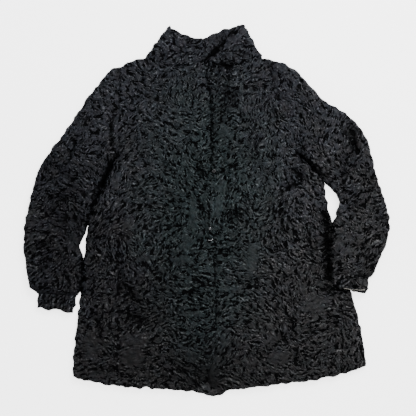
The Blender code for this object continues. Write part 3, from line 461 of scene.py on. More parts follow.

# Broad patches of painted shade and painted sheen, where the fur is darker or brighter: x, y,
# half width, half height, turn in degrees, gain.
SHADE_AND_SHEEN_PATCHES = (
    (-60, -405, 150, 50, 0, -0.22), (-10, -330, 40, 40, 0, -0.15), (370, -320, 70, 90, 0, 0.2),
    (250, -330, 60, 60, 0, 0.1), (75, -215, 40, 40, 0, 0.22), (-5, -155, 35, 40, 0, 0.2),
    (75, -150, 40, 40, 0, 0.12), (350, -150, 35, 35, 0, 0.15), (-200, -90, 35, 40, 0, 0.2),
    (230, -95, 42, 42, 0, 0.25), (150, -90, 30, 40, 0, 0.1), (175, 20, 28, 35, 0, -0.15),
    (300, 20, 32, 38, 0, -0.22), (300, 155, 40, 32, 0, 0.25), (-225, 150, 28, 34, 0, -0.2),
    (-90, 425, 50, 40, 0, 0.2), (35, 430, 30, 30, 0, -0.15), (100, 425, 40, 40, 0, 0.12),
    (-360, -60, 110, 200, 0, -0.05), (400, 90, 40, 60, 0, 0.12), (105, 20, 30, 30, 0, 0.12),
    (-8, 345, 5, 30, -3, 0.3), (-1, 290, 5, 32, -14, 0.3), (6, 190, 5, 60, 0, 0.15),
    (32, 300, 26, 76, 0, -0.35), (-22, -434, 40, 24, 0, -0.50), (6, -440, 22, 22, 0, -0.50),
    (-190, -200, 40, 40, 0, -0.08), (-180, -270, 50, 22, 0, -0.25),
    (-395, 120, 50, 90, 40, -0.25), (360, 160, 18, 50, 8, -0.30), (300, -90, 26, 110, 0, -0.30),
    (-330, -20, 40, 60, 0, -0.15), (-120, -250, 60, 50, 0, -0.20),
    (80, 330, 22, 40, 0, 0.18), (70, 343, 7, 6, 0, -0.3), (-270, 210, 18, 70, -20, 0.25),
    (152, 160, 18, 28, 0, 0.25),
    (32, 18, 26, 34, 0, 0.20), (-228, 76, 10, 26, 0, 0.25), (255, 30, 40, 60, 0, 0.15),
    (190, -230, 60, 60, 0, 0.10), (-60, 60, 30, 40, 40, 0.10), (355, -40, 30, 60, 0, 0.15),
    (-354, -60, 110, 200, 0, -0.37), (-166, -225, 110, 190, 0, -0.25),
    (-4, -388, 70, 60, 0, -0.35), (-29, -125, 80, 110, 0, -0.10),
    (196, -375, 90, 50, 0, -0.10), (234, 238, 70, 70, 0, 0.08), (30, 412, 50, 7, 50, -0.35),
    (-270, -370, 120, 90, 0, -0.25), (-420, -210, 60, 70, 0, -0.25),
    (50, -405, 80, 40, 0, -0.20), (260, 20, 100, 150, 0, 0.22), (400, -60, 70, 120, 0, 0.16),
    (232, 98, 26, 32, 0, -0.40), (200, 120, 120, 60, 0, 0.10), (0, 330, 240, 60, 0, -0.02),
)

# How far the hollows stray from their straight lines, how strongly their painted shade darkens
# the fur and to what share at most, how deep they are, the reach from which they are fully deep,
# how far crossing ones add up, and how much more the curls part in them, which adds the
# partings' painted shade.
HOLLOW_STRAY = 2.4
HOLLOW_STRAY_REACH = 9.0
HOLLOW_SHADE = 1.25
HOLLOW_DARKEST_SHADE = 0.03
HOLLOW_DEPTH = 1.6
HOLLOW_FULL_REACH = 3
HOLLOW_CROSSING = 1.2
HOLLOW_PARTING = 1.1

# Raster on which the curls are worked out: its cell, and its cells across and along.
RASTER_STEP = 1.0
RASTER_WIDE = 960
RASTER_TALL = 1000

# The curls: how many directions they are made of, how straight they run, how strictly
# they follow the flow and how strictly at the least, how far they stray from it, the
# spread and shares of their sizes, how much they are kinked, and the reach over which
# their strength is evened out.
CURL_SEED = 7
CURL_DIRECTIONS = 18
CURL_STRAIGHT = 13.0
CURL_FOLLOW = 11.0
CURL_LOOSEST = 0.45
CURL_WANDER = 0.9
CURL_WANDER_REACH = 28.0
CURL_WANDER_SPAN = 1.08
CURL_SPREAD = 0.8
CURL_SIZES = (0.72, 1.15, 1.75)
CURL_KINK = 0.8
CURL_KINK_WAVE = 9.0
CURL_EVEN_REACH = 40.0

# Share of large curls: its mean, how unevenly it lies, how much it falls from the hem to
# the shoulders and round what height, and how much less there is of it on the collar.
LARGE_SHARE = 0.42
LARGE_UNEVEN = 0.32
LARGE_REACH = 40.0
LARGE_DRIFT = 0.13
LARGE_DRIFT_HEIGHT = -20
LARGE_COLLAR_FALL = 0.25
COLLAR_HEIGHTS = (360.0, 395.0)

# The black partings between the curls, their black partly the fur's own and partly painted
# shade: the level they start at, how much more of them there are toward the hem and round what
# height, how unevenly the level lies from curl to curl and from clump to clump, how far it drops
# on a smooth patch, and how softly the partings begin in the colour and in the relief.
PARTING_LEVEL = -0.49
PARTING_DRIFT = 0.10
PARTING_DRIFT_HEIGHT = 20
PARTING_UNEVEN = 0.45
PARTING_UNEVEN_REACH = 8.0
PARTING_CLUMPS = 0.5
PARTING_CLUMP_WAVE = 22.0
PARTING_CALM = 2.4
PARTING_SOFT = 0.18
PARTING_BANK = 0.8
DRIFT_LENGTH = 80

# Relief of the fur in shares of its depth: hills that carry the curls, each a strength
# and a wavelength, the crests of the curls and the fall into a parting.
HILL_BANDS = ((0.26, 24.0), (0.14, 13.0))
CREST_RISE = 0.15
CREST_LIMIT = 1.5
PARTING_FALL = 0.8

# Uneven brightness of the fur and uneven borders: strengths and wavelengths of their
# bands, then strength and reach of the soft noise under them.
SHINE_BANDS = ((0.08, 20.0), (0.08, 13.0))
SHINE_SOFT = 0.10
SHINE_REACH = 26.0
WAVER_BANDS = ((0.9, 30.0),)
WAVER_SOFT = 0.35
WAVER_REACH = 9.0

# Width of the bright strands in the curls, as a share of the curls' own width.
STRAND_WIDTH = 0.62


def smooth(low, high, x):
    """Rise smoothly from 0 at one value to 1 at another."""
    t = np.clip((x - low) / (high - low), 0.0, 1.0)
    return t * t * (3 - 2 * t)


def drift(y, height):
    """Go from -1 well below a height of the plan to 1 well above it."""
    return np.tanh((y - height) / DRIFT_LENGTH)


def line_gap(x0, y0, x1, y1, x, y):
    """Distance of places from a straight stretch."""
    run = np.array([x1 - x0, y1 - y0], float)
    t = ((x - x0) * run[0] + (y - y0) * run[1]) / run.dot(run)
    t = np.clip(t, 0.0, 1.0)
    return np.hypot(x - x0 - t * run[0], y - y0 - t * run[1])


class Fields:
    """Rasters of the fur over the whole jacket, periodic in both directions."""

    def __init__(self, curls):
        self.random = np.random.default_rng(CURL_SEED)
        across = (np.arange(RASTER_WIDE) - RASTER_WIDE / 2) * RASTER_STEP
        along = (np.arange(RASTER_TALL) - RASTER_TALL / 2) * RASTER_STEP
        self.x, self.y = np.meshgrid(across, along)
        self.freq_x = np.fft.fftfreq(RASTER_WIDE, RASTER_STEP)[None, :]
        self.freq_y = np.fft.fftfreq(RASTER_TALL, RASTER_STEP)[:, None]
        self.freq = np.hypot(self.freq_x, self.freq_y)
        self.layers = {}
        self.curl_layers(curls)
        self.shade_and_sheen_layers()
        for name in ("waver_x", "waver_y"):
            stray = self.bands(WAVER_BANDS) + WAVER_SOFT * self.soft(WAVER_REACH)
            self.layers[name] = curls.waver / MM * stray

    def filtered(self, layer, gate):
        """Keep the share of each frequency that the gate gives."""
        return np.real(np.fft.ifft2(np.fft.fft2(layer) * gate))

    def evened(self, layer, reach):
        """A layer without detail finer than the reach."""
        return self.filtered(layer, np.exp(-(self.freq * reach) ** 2))

    def soft(self, reach):
        """Noise without detail finer than the reach, of standard strength."""
        noise = self.evened(self.random.standard_normal(self.freq.shape), reach)
        return noise / noise.std()

    def band(self, wave):
        """Noise of one rough wavelength, of standard strength."""
        noise = self.random.standard_normal(self.freq.shape)
        noise = self.filtered(noise, np.exp(-((self.freq * wave - 1) / 0.5) ** 2))
        return noise / noise.std()

    def bands(self, parts):
        """Noise of several wavelengths, each with its own strength."""
        return sum(strength * self.band(wave) for strength, wave in parts)

    def flow(self):
        """Angle of the curls and how strictly they keep it."""
        lean = np.zeros(self.x.shape, complex)
        weight = np.full(self.x.shape, CURL_FLOW_LEAST)
        for x, y, angle, strict in CURL_FLOW:
            gap = np.hypot(self.x - x, self.y - y)
            near = np.exp(-(gap / CURL_FLOW_REACH) ** 2)
            lean += near * strict * np.exp(2j * math.radians(angle))
            weight += near
        lean = lean / weight
        strict = np.maximum(np.abs(lean), CURL_LOOSEST)
        wander = CURL_WANDER * self.soft(CURL_WANDER_REACH) * (CURL_WANDER_SPAN - strict)
        return np.angle(lean) / 2 + wander, strict

    def curls(self, width):
        """Noise in short runs that follow the flow, small and large ones by patches."""
        angle, strict = self.flow()
        large = LARGE_SHARE + LARGE_UNEVEN * self.soft(LARGE_REACH)
        large = large - LARGE_DRIFT * drift(self.y, LARGE_DRIFT_HEIGHT)
        large = large - LARGE_COLLAR_FALL * smooth(*COLLAR_HEIGHTS, self.y)
        shares = (1 - 2 * large, 1 - np.abs(2 * large - 1), 2 * large - 1)
        rings = []
        for size, share in zip(CURL_SIZES, shares):
            octaves = np.log(np.maximum(self.freq * width * size, 1e-6))
            rings.append((np.exp(-(octaves / CURL_SPREAD) ** 2), np.clip(share, 0.0, 1.0)))
        heading = np.arctan2(self.freq_y, self.freq_x)
        spectrum = np.fft.fft2(self.random.standard_normal(self.freq.shape))
        curls = np.zeros(self.freq.shape)
        for number in range(CURL_DIRECTIONS):
            run = math.pi * number / CURL_DIRECTIONS
            across = np.cos(2 * (heading - run - math.pi / 2)) - 1
            keep = np.exp(CURL_FOLLOW * strict * (np.cos(2 * (run - angle)) - 1))
            beam = spectrum * np.exp(CURL_STRAIGHT * across)
            for ring, share in rings:
                curls += share * keep * np.real(np.fft.ifft2(beam * ring))
        power = self.evened(curls ** 2, CURL_EVEN_REACH)
        curls = curls / np.sqrt(np.maximum(power, power.max() * 1e-6))
        return curls / curls.std()

    def curl_layers(self, curls):
        """The curls, the level below which they part, and their relief."""
        self.layers["curl"] = self.curls(curls.width / MM)
        self.layers["strand"] = self.curls(STRAND_WIDTH * curls.width / MM)
        kink_x = CURL_KINK * self.band(CURL_KINK_WAVE)
        kink_y = CURL_KINK * self.band(CURL_KINK_WAVE)
        curl = self.at("curl", self.x + kink_x, self.y + kink_y)
        calm = np.zeros(curl.shape)
        for x, y, half_x, half_y, fade in SMOOTH_PATCHES:
            near = np.hypot((self.x - x) / half_x, (self.y - y) / half_y)
            calm = np.maximum(calm, fade * np.exp(-near ** 4))
        level = PARTING_LEVEL - PARTING_DRIFT * drift(self.y, PARTING_DRIFT_HEIGHT)
        level = level + PARTING_UNEVEN * self.soft(PARTING_UNEVEN_REACH)
        level = level + PARTING_CLUMPS * self.band(PARTING_CLUMP_WAVE) - PARTING_CALM * calm
        parted = smooth(level + PARTING_BANK, level - PARTING_BANK, curl)
        crests = CREST_RISE * np.clip(curl, -CREST_LIMIT, CREST_LIMIT)
        rise = self.bands(HILL_BANDS) + crests - PARTING_FALL * parted
        self.layers["curl"] = curl
        self.layers["level"] = level
        self.layers["rise"] = curls.depth / MM * (rise - rise.mean())
        shine = 1 + SHINE_SOFT * self.soft(SHINE_REACH)
        self.layers["shine"] = shine + self.bands(SHINE_BANDS)

    def shade_and_sheen_layers(self):
        """Painted shade and sheen of the broad patches and of the hollows, and the hollows
        pressed into the relief.
        """
        x = self.x + HOLLOW_STRAY * self.soft(HOLLOW_STRAY_REACH)
        y = self.y + HOLLOW_STRAY * self.soft(HOLLOW_STRAY_REACH)
        shade_and_sheen = np.ones(x.shape)
        sunk = np.zeros(x.shape)
        for x0, y0, x1, y1, reach, dark in HOLLOWS:
            margin = 3 * reach + 3 * HOLLOW_STRAY
            columns = self.window(x0, x1, margin, RASTER_WIDE)
            rows = self.window(y0, y1, margin, RASTER_TALL)
            gap = line_gap(x0, y0, x1, y1, x[rows, columns], y[rows, columns])
            near = dark * np.exp(-(gap / reach) ** 2)
            # Painted shade along the hollow.
            shade_and_sheen[rows, columns] *= np.maximum(1 - HOLLOW_SHADE * near, HOLLOW_DARKEST_SHADE)
            sunk[rows, columns] += near * min(1.0, reach / HOLLOW_FULL_REACH)
        # Broad patches of painted shade and painted sheen.
        for cx, cy, half_x, half_y, turn, gain in SHADE_AND_SHEEN_PATCHES:
            c = math.cos(math.radians(turn))
            s = math.sin(math.radians(turn))
            across = ((x - cx) * c + (y - cy) * s) / half_x
            along = ((y - cy) * c - (x - cx) * s) / half_y
            shade_and_sheen *= 1 + gain * np.exp(-(across ** 2 + along ** 2))
        self.layers["shade_and_sheen"] = shade_and_sheen
        self.layers["sunk"] = HOLLOW_DEPTH * np.minimum(sunk, HOLLOW_CROSSING)
        self.layers["level"] += HOLLOW_PARTING * np.minimum(sunk, 1.0)

    def window(self, low, high, margin, size):
        """Raster cells from one place to another, with a margin."""
        first = int((min(low, high) - margin) / RASTER_STEP + size / 2)
        last = int((max(low, high) + margin) / RASTER_STEP + size / 2)
        return slice(max(first, 0), min(last, size))

    def at(self, name, x, y):
        """Read a layer at any places, the raster repeating outside its own size."""
        layer = self.layers[name]
        column = x / RASTER_STEP + RASTER_WIDE / 2
        row = y / RASTER_STEP + RASTER_TALL / 2
        left = np.floor(column).astype(int)
        low = np.floor(row).astype(int)
        a = column - left
        b = row - low
        total = 0.0
        for step_row, share_row in ((0, 1 - b), (1, b)):
            for step_column, share_column in ((0, 1 - a), (1, a)):
                rows = (low + step_row) % RASTER_TALL
                columns = (left + step_column) % RASTER_WIDE
                total = total + share_row * share_column * layer[rows, columns]
        return total


made_fields = {}


def fields(context):
    """The rasters, worked out once for the settings they depend on."""
    curls = context.scene.jacket_curls
    key = (curls.width, curls.depth, curls.waver)
    if key not in made_fields:
        made_fields[key] = Fields(curls)
    return made_fields[key]


# ------------------------------------------------------------------- shapes in the flat

def line_at(points, t, axis):
    """Points of a border line at fractions t, measured along one axis."""
    points = np.array(points, float)
    measure = np.abs(points[:, axis] - points[0, axis])
    measure = measure / measure[-1]
    x = np.interp(t, measure, points[:, 0])
    y = np.interp(t, measure, points[:, 1])
    return np.stack([x, y], axis=-1)


def between_borders(first, last, neck, hem, u, v):
    """Blend the four borders of a panel: u runs from the first side to the last, v down."""
    v_column = v[:, None, None]
    u_grid = u[:, :, None]
    a = line_at(first, v, 1)[:, None, :]
    b = line_at(last, v, 1)[:, None, :]
    top = line_at(neck, u, 0)
    low = line_at(hem, u, 0)
    corners = [np.array(p, float) for p in (neck[0], neck[-1], hem[0], hem[-1])]
    across = (1 - u_grid) * a + u_grid * b
    down = (1 - v_column) * top + v_column * low
    mix_top = (1 - u_grid) * corners[0] + u_grid * corners[1]
    mix_low = (1 - u_grid) * corners[2] + u_grid * corners[3]
    return across + down - (1 - v_column) * mix_top - v_column * mix_low


def fractions(length, near, far, count):
    """Fractions along a length, with fixed steps from each end and even ones between."""
    near = np.array(near) / length
    far = 1 - np.array(far)[::-1] / length
    middle = np.linspace(near[-1], far[0], count + 1)[1:-1]
    return np.concatenate([near, middle, far])


def touching(zones, y):
    """Share of touch between a sleeve and the body, by heights."""
    near = 0.0
    for low, high in zones:
        above = smooth(low - TOUCH_OUTSIDE, low + TOUCH_INSIDE, y)
        below = smooth(high + TOUCH_OUTSIDE, high - TOUCH_INSIDE, y)
        near = np.maximum(near, above * below)
    return near


def folds_at(folds, x, y):
    """Height of the soft folds over the cloth."""
    height = np.zeros_like(x)
    for x0, y0, x1, y1, reach, rise in folds:
        height += rise * np.exp(-(line_gap(x0, y0, x1, y1, x, y) / reach) ** 2)
    return height


def leaning(distance):
    """How far the pile leans out at a distance from a border."""
    return PILE_REACH * np.exp(-distance / PILE_LEAN)


def border_thin(distance, reach, edge, full):
    """Pile height at a distance from a border, rounding down to its edge."""
    t = np.clip(distance / reach, 0.0, 1.0)
    return edge + (full - edge) * np.sqrt(1 - (1 - t) ** 2)


def lap_over_low(distance):
    """Underside of the upper front, which steps over the edge of the lower one."""
    steps = (0.0, LAP_OVER_FULL, LAP_OVER_STEP, LAP_OVER_END)
    lows = (LAP_OVER_LOW, LAP_OVER_LOW, LAP_OVER_EDGE_LOW, FRONT_LOW)
    return np.interp(distance, steps, lows)


def thinned(shape, step):
    """Every so many rows and columns of a grid, with the last ones."""
    lines = (np.append(np.arange(0, count, step), count - 1) for count in shape)
    return np.ix_(*(np.unique(line) for line in lines))


class Plan:
    """Places of a body panel between its borders, and how far they lie from each."""

    def __init__(self, first, last, neck, hem, side, grid, hem_steps=BORDER_STEPS):
        rows, columns = grid
        self.length = abs(side[-1][1] - side[0][1])
        v = fractions(self.length, BORDER_STEPS, hem_steps, rows)
        widths = np.linalg.norm(line_at(last, v, 1) - line_at(first, v, 1), axis=1)
        u = np.array([fractions(w, BORDER_STEPS, BORDER_STEPS, columns) for w in widths])
        places = between_borders(first, last, neck, hem, u, v)
        self.x = places[:, :, 0]
        self.y = places[:, :, 1]
        self.v = np.broadcast_to(v[:, None], u.shape)
        self.underarm = (side[0][1] - side[1][1]) / (side[0][1] - side[-1][1])
        self.from_first = u * widths[:, None]
        self.from_last = (1 - u) * widths[:, None]
        self.from_neck = self.v * self.length
        self.from_hem = (1 - self.v) * self.length

    def side_height(self, distance, full):
        """Pile height along a side: shallow at the armhole seam, rounded below it."""
        seam = border_thin(distance, SEAM_REACH, SEAM_EDGE, full)
        loose = border_thin(distance, BORDER_REACH, BORDER_EDGE, full)
        below = smooth(self.underarm, self.underarm + UNDERARM_BLEND, self.v)
        return seam * (1 - below) + loose * below

    def rounded(self, pile):
        """Pile rounded down to the hem, and to the seam at the neck."""
        pile = np.minimum(pile, border_thin(self.from_hem, BORDER_REACH, BORDER_EDGE, pile))
        neck = border_thin(self.from_neck, SEAM_REACH, NECK_SEAM_EDGE, pile)
        return np.minimum(pile, neck)


# --------------------------------------------------------------------- meshes of cloth

# Looks of cloth that doesn't show, in the layers that the fur's material reads; its brightness
# at half strength is painted shade.
INSIDE_LOOKS = {"curl": 0.0, "strand": 0.0, "level": -4.0, "shade_and_sheen": 0.5}


def normals_of(points, upward, around=False):
    """Unit normals of a grid of points; upward picks the places that face up."""
    if around:
        padded = np.concatenate([points[:, -2:-1], points, points[:, 1:2]], axis=1)
        across = (padded[:, 2:] - padded[:, :-2]) / 2
    else:
        across = np.gradient(points, axis=1)
    along = np.gradient(points, axis=0)
    normal = np.cross(across, along)
    normal = normal / np.maximum(np.linalg.norm(normal, axis=-1, keepdims=True), 1e-9)
    return normal * np.sign(normal[..., 2][upward].mean())


def wavered(context, points):
    """Shift points in the plan by the waver of the cloth."""
    field = fields(context)
    moved = points.copy()
    moved[..., 0] += field.at("waver_x", points[..., 0], points[..., 1])
    moved[..., 1] += field.at("waver_y", points[..., 0], points[..., 1])
    return moved


def fur_looks(context, x, y, strength, bright):
    """The curls, their partings, and the fur's uneven tone with its painted shade and sheen, at
    plan places of the fur.
    """
    field = fields(context)
    level = field.at("level", x, y) - PARTING_CALM * (1 - np.clip(strength, 0.0, 1.0))
    shade_and_sheen = field.at("shine", x, y) * bright
    curl = field.at("curl", x, y)
    strand = field.at("strand", x, y)
    return [("curl", curl), ("strand", strand), ("level", level), ("shade_and_sheen", shade_and_sheen)]


def curled(context, points, x, y, strength, upward, around=False):
    """Raise a grid of points by the curls at plan places x, y of the fur."""
    normal = normals_of(points, upward, around)
    rise = fields(context).at("rise", x, y) * strength * np.abs(normal[..., 2])
    return points + normal * rise[..., None]


def place_grid(bm, points, extras):
    """Add a grid and put its vertices on the points; extras fills float layers."""
    rows, columns = points.shape[:2]
    made = bmesh.ops.create_grid(bm, x_segments=columns - 1, y_segments=rows - 1, size=0.5)
    layers = [(bm.verts.layers.float[name], values.reshape(-1)) for name, values in extras]
    for number, (vert, place) in enumerate(zip(made["verts"], points.reshape(-1, 3))):
        vert.co = place * MM
        for layer, values in layers:
            vert[layer] = values[number]


def new_fur_mesh():
    """An empty mesh with the layers that the fur's material reads."""
    bm = bmesh.new()
    for name in INSIDE_LOOKS:
        bm.verts.layers.float.new(name)
    return bm


def shell(name, outer, inner, outer_looks, inner_looks, material):
    """A closed wall between two grids of points that share their border line."""
    bm = new_fur_mesh()
    place_grid(bm, outer, outer_looks)
    place_grid(bm, inner, inner_looks)
    rim = [edge for edge in bm.edges if edge.is_boundary]
    bmesh.ops.bridge_loops(bm, edges=rim)
    return finish_cloth(name, bm, material)


def tube(name, outer, inner, looks, material):
    """A closed tube: its outer rings, then its inner rings back to the start."""
    bm = new_fur_mesh()
    rings = np.concatenate([outer, inner[::-1], outer[:1]])
    extras = []
    for layer, values in looks:
        # The inside's half brightness is painted shade.
        calm = np.full(inner.shape[:2], INSIDE_LOOKS[layer])
        extras.append((layer, np.concatenate([values, calm, values[:1]])))
    place_grid(bm, rings, extras)
    bmesh.ops.remove_doubles(bm, verts=bm.verts[:], dist=1e-7)
    return finish_cloth(name, bm, material)


def linked(name, data):
    """A new object in the scene for a mesh, curve, camera or light."""
    made = bpy.data.objects.new(name, data)
    bpy.context.scene.collection.objects.link(made)
    return made


def finish_cloth(name, bm, material):
    """Turn a closed bmesh into a piece of cloth."""
    if any(not edge.is_manifold for edge in bm.edges):
        raise RuntimeError(f"{name} isn't closed")
    bmesh.ops.recalc_face_normals(bm, faces=bm.faces[:])
    mesh = bpy.data.meshes.new(name)
    bm.to_mesh(mesh)
    bm.free()
    mesh.shade_smooth()
    mesh.materials.append(material)
    return linked(name, mesh)


def dress(piece, node):
    """Attach a piece to the body and let it stand for its CAD node."""
    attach(piece, BODY)
    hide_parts(node)


# -------------------------------------------------------------------------- materials

# The fur's look: sizes of its clumps, of its single hairs and of its uneven tones, as
# scales of noise, then how far hairs break up the strands and the curls.
CLUMP_SCALE = 80.0
HAIR_SCALE = 210.0
TONE_SCALE = 22.0
CAST_SCALE = 16.0
RUDDY_SCALE = 75.0
GREEN_SCALE = 100.0
HAIR_IN_STRANDS = 7.5
HAIR_IN_CURLS = 2.6
RUDDY_SPREAD = 0.55
GREEN_SPREAD = 0.36

# Levels and curls between which the strands, the painted highlights on the crests and the
# partings show.
SMOOTH_LEVELS = (-2.4, -0.8)
CREST_LEVELS = (-2.0, -0.8)
CREST_CURLS = (0.55, 1.15)
STRAND_CONTRAST = (-1.3, 1.7)
OPEN_CLUMPS = (0.5, 0.72)

# The greenish cast of the middle, in metres: squeeze of the plan, its two centres, the
# stretches over which it fades, and its unevenness.
CAST_SQUEEZE = (1.0, 0.55, 0.0)
CAST_MIDDLE = (0.0, 0.012, 0.0)
CAST_LOWER = (-0.012, -0.148, 0.0)
CAST_FADE = (0.05, 0.25)
CAST_LOWER_FADE = (0.02, 0.11)
CAST_UNEVEN = 0.16

# Brightness of the fur's colour: its ground and the shares of clumps and hairs in it, which are
# its own uneven tone, and the share of the crests, which is a painted highlight; then a gain and
# a fall-off that holds back the brightest.
NAP_GROUND = 0.31
NAP_CLUMPS = 0.26
NAP_HAIRS = 1.18
CREST_HIGHLIGHT = 0.14
CREST_HIGHLIGHT_HAIRS = 1.34
NAP_GAIN = 1.085
NAP_FALL = 0.075

# The other materials: scales of the steel's grain and wear and of the lining's threads
# and soil, and the lining's colours in the weave's gaps, on its threads and where soiled.
STEEL_GRAIN = 700.0
STEEL_WEAR = 160.0
THREAD_SCALE = 420.0
SOIL_SCALE = 90.0
LINING_GAPS = (0.105, 0.099, 0.087)
LINING_THREADS = (0.19, 0.180, 0.158)
LINING_SOILED = (0.06, 0.057, 0.05)


class Signal:
    """A shader socket that takes part in Python arithmetic."""

    def __init__(self, paint, socket):
        self.paint = paint
        self.socket = socket

    def maths(self, operation, first, second):
        settings = {"operation": operation}
        return self.paint.node("ShaderNodeMath", settings, {0: first, 1: second})

    def __add__(self, other):
        return self.maths("ADD", self, other)

    def __radd__(self, other):
        return self.maths("ADD", other, self)

    def __sub__(self, other):
        return self.maths("SUBTRACT", self, other)

    def __rsub__(self, other):
        return self.maths("SUBTRACT", other, self)

    def __mul__(self, other):
        return self.maths("MULTIPLY", self, other)

    def __rmul__(self, other):
        return self.maths("MULTIPLY", other, self)


class Paint:
    """A material under construction, with its shader and its nodes."""

    def __init__(self, name):
        self.material = bpy.data.materials.new(name)
        self.material.use_nodes = True
        self.tree = self.material.node_tree
        self.shader = self.tree.nodes["Principled BSDF"]

    def node(self, kind, settings=None, values=None, output=0):
        """Add a node, set it up, feed its sockets and give one of its outputs."""
        made = self.tree.nodes.new(kind)
        for name, value in (settings or {}).items():
            setattr(made, name, value)
        for name, value in (values or {}).items():
            self.feed(made.inputs[name], value)
        return Signal(self, made.outputs[output])

    def feed(self, socket, value):
        if isinstance(value, Signal):
            self.tree.links.new(value.socket, socket)
        else:
            socket.default_value = value

    def finish(self, **values):
        """Feed the shader's sockets, named with underscores, and give the material."""
        for name, value in values.items():
            self.feed(self.shader.inputs[name.replace("_", " ")], value)
        return self.material

    def attribute(self, name):
        return self.node("ShaderNodeAttribute", {"attribute_name": name}, output="Fac")

    def place(self):
        return self.node("ShaderNodeTexCoord", output="Object")

    def place_along(self, axis):
        return self.node("ShaderNodeSeparateXYZ", None, {0: self.place()}, axis)

    def vector(self, operation, first, second, output=0):
        settings = {"operation": operation}
        return self.node("ShaderNodeVectorMath", settings, {0: first, 1: second}, output)

    def noise(self, scale, detail=2.0, roughness=0.5):
        values = {"Vector": self.place(), "Scale": scale, "Detail": detail}
        values["Roughness"] = roughness
        return self.node("ShaderNodeTexNoise", None, values)

    def threads(self, axis):
        """Even threads of a weave, with a slight stray."""
        settings = {"wave_type": "BANDS", "bands_direction": axis}
        values = {"Vector": self.place(), "Scale": THREAD_SCALE, "Distortion": 0.4}
        return self.node("ShaderNodeTexWave", settings, values)

    def span(self, value, low, high, to_low=0.0, to_high=1.0):
        """Map a value smoothly from one range to another."""
        settings = {"interpolation_type": "SMOOTHSTEP"}
        values = {0: value, 1: low, 2: high, 3: to_low, 4: to_high}
        return self.node("ShaderNodeMapRange", settings, values)

    def blend(self, share, first, second, mode="MIX"):
        """Mix two colours."""
        settings = {"data_type": "RGBA", "blend_type": mode}
        return self.node("ShaderNodeMix", settings, {0: share, 6: first, 7: second}, 2)

    def bump(self, height, distance, strength):
        values = {"Height": height, "Distance": distance, "Strength": strength}
        return self.node("ShaderNodeBump", None, values)


def rgb(colour):
    """A colour with its alpha."""
    return (*colour, 1.0)


def fur_cast(paint, looks):
    """Colour of the fur by its place: greenish in the middle, cool above, warm below."""
    flat = paint.vector("MULTIPLY", paint.place(), CAST_SQUEEZE)
    middle = paint.vector("DISTANCE", flat, CAST_MIDDLE, 1)
    stray = CAST_UNEVEN * (paint.noise(CAST_SCALE, 3.0) - 0.5)
    cast = paint.span(middle + stray, *CAST_FADE)
    lower = paint.vector("DISTANCE", flat, CAST_LOWER, 1)
    cast = cast * paint.span(lower, *CAST_LOWER_FADE, 0.25, 1.0)
    tones = 1.6 * (paint.noise(TONE_SCALE, 4.0, 0.6) - 0.5) + 0.5
    lean = tones - 0.9 * paint.place_along("Y") + 0.35 * paint.place_along("X")
    warmth = paint.span(lean, 0.15, 0.85)
    rim = paint.blend(warmth, rgb(looks.fill_cool), rgb(looks.fill_warm))
    return paint.blend(cast, rgb(looks.fill), rim)


def fur_material(name, looks):
    """Black curly fur: black partings between the curls, partly painted shade, painted
    highlights on the crests, and lustre on the curls.
    """
    paint = Paint(name)
    level = paint.attribute("level")
    clump = paint.noise(CLUMP_SCALE)
    fine = paint.noise(HAIR_SCALE, 3.0, 0.7)
    strand = paint.attribute("strand") + HAIR_IN_STRANDS * (fine - 0.5)
    woolly = paint.span(level, *SMOOTH_LEVELS, 0.4, 1.0)
    hairs = 0.5 + woolly * (paint.span(strand, *STRAND_CONTRAST) - 0.5)
    curl = paint.attribute("curl") + HAIR_IN_CURLS * (fine - 0.5)
    # The partings' near black is partly the fur's own black and partly painted shade in the
    # grooves.
    parting = paint.span(curl, level - PARTING_SOFT, level + PARTING_SOFT, 1.0, 0.0)
    parting = parting * paint.span(clump, *OPEN_CLUMPS, 1.0, 0.65)
    # Painted highlights on the crests of the curls; the same mask also sets the gloss of the
    # crests.
    lit = paint.span(curl, *CREST_CURLS) * paint.span(level, *CREST_LEVELS)
    light = NAP_GROUND + NAP_CLUMPS * clump + NAP_HAIRS * hairs
    light = light + lit * (CREST_HIGHLIGHT + CREST_HIGHLIGHT_HAIRS * hairs)
    # Painted shade and sheen of the patches and hollows, over the fur's uneven tone.
    light = paint.attribute("shade_and_sheen") * light
    light = light * (NAP_GAIN - NAP_FALL * light)
    ruddy = RUDDY_SPREAD * (paint.noise(RUDDY_SCALE, 5.0, 0.7) - 0.5)
    green = GREEN_SPREAD * (paint.noise(GREEN_SCALE, 5.0, 0.7) - 0.5)
    shade = paint.node(
        "ShaderNodeCombineColor", None,
        {0: light * (1 + ruddy), 1: light * (1 + green), 2: light * (1 - 0.4 * ruddy)},
    )
    colour = paint.blend(1.0, fur_cast(paint, looks), shade, "MULTIPLY")
    return paint.finish(
        Base_Color=paint.blend(parting, colour, rgb(looks.parting)),
        Roughness=0.55,
        Specular_IOR_Level=0.01,
        Coat_Weight=(looks.gloss * lit + looks.lustre) * (1 - parting) * light,
        Coat_Roughness=0.36,
        Normal=paint.bump(0.6 * (1 - parting) + 0.4 * fine, 0.0014, 0.7),
    )


def steel_grey(tone, blue):
    """Grey of steel, a little bluer than even."""
    return rgb((tone, tone, blue * tone))


def steel_material(name, dull, bright):
    """Drawn steel wire with uneven wear between a darkest and a brightest grey; the eye's darker
    copy is painted shade and the hook's brighter copy carries painted glints.
    """
    paint = Paint(name)
    grain = paint.noise(STEEL_GRAIN, 3.0)
    wear = paint.noise(STEEL_WEAR)
    return paint.finish(
        Base_Color=paint.blend(wear, steel_grey(dull, 1.03), steel_grey(bright, 1.02)),
        Metallic=1.0, Roughness=0.26 + 0.16 * grain,
        Normal=paint.bump(grain, 0.0001, 0.2),
    )


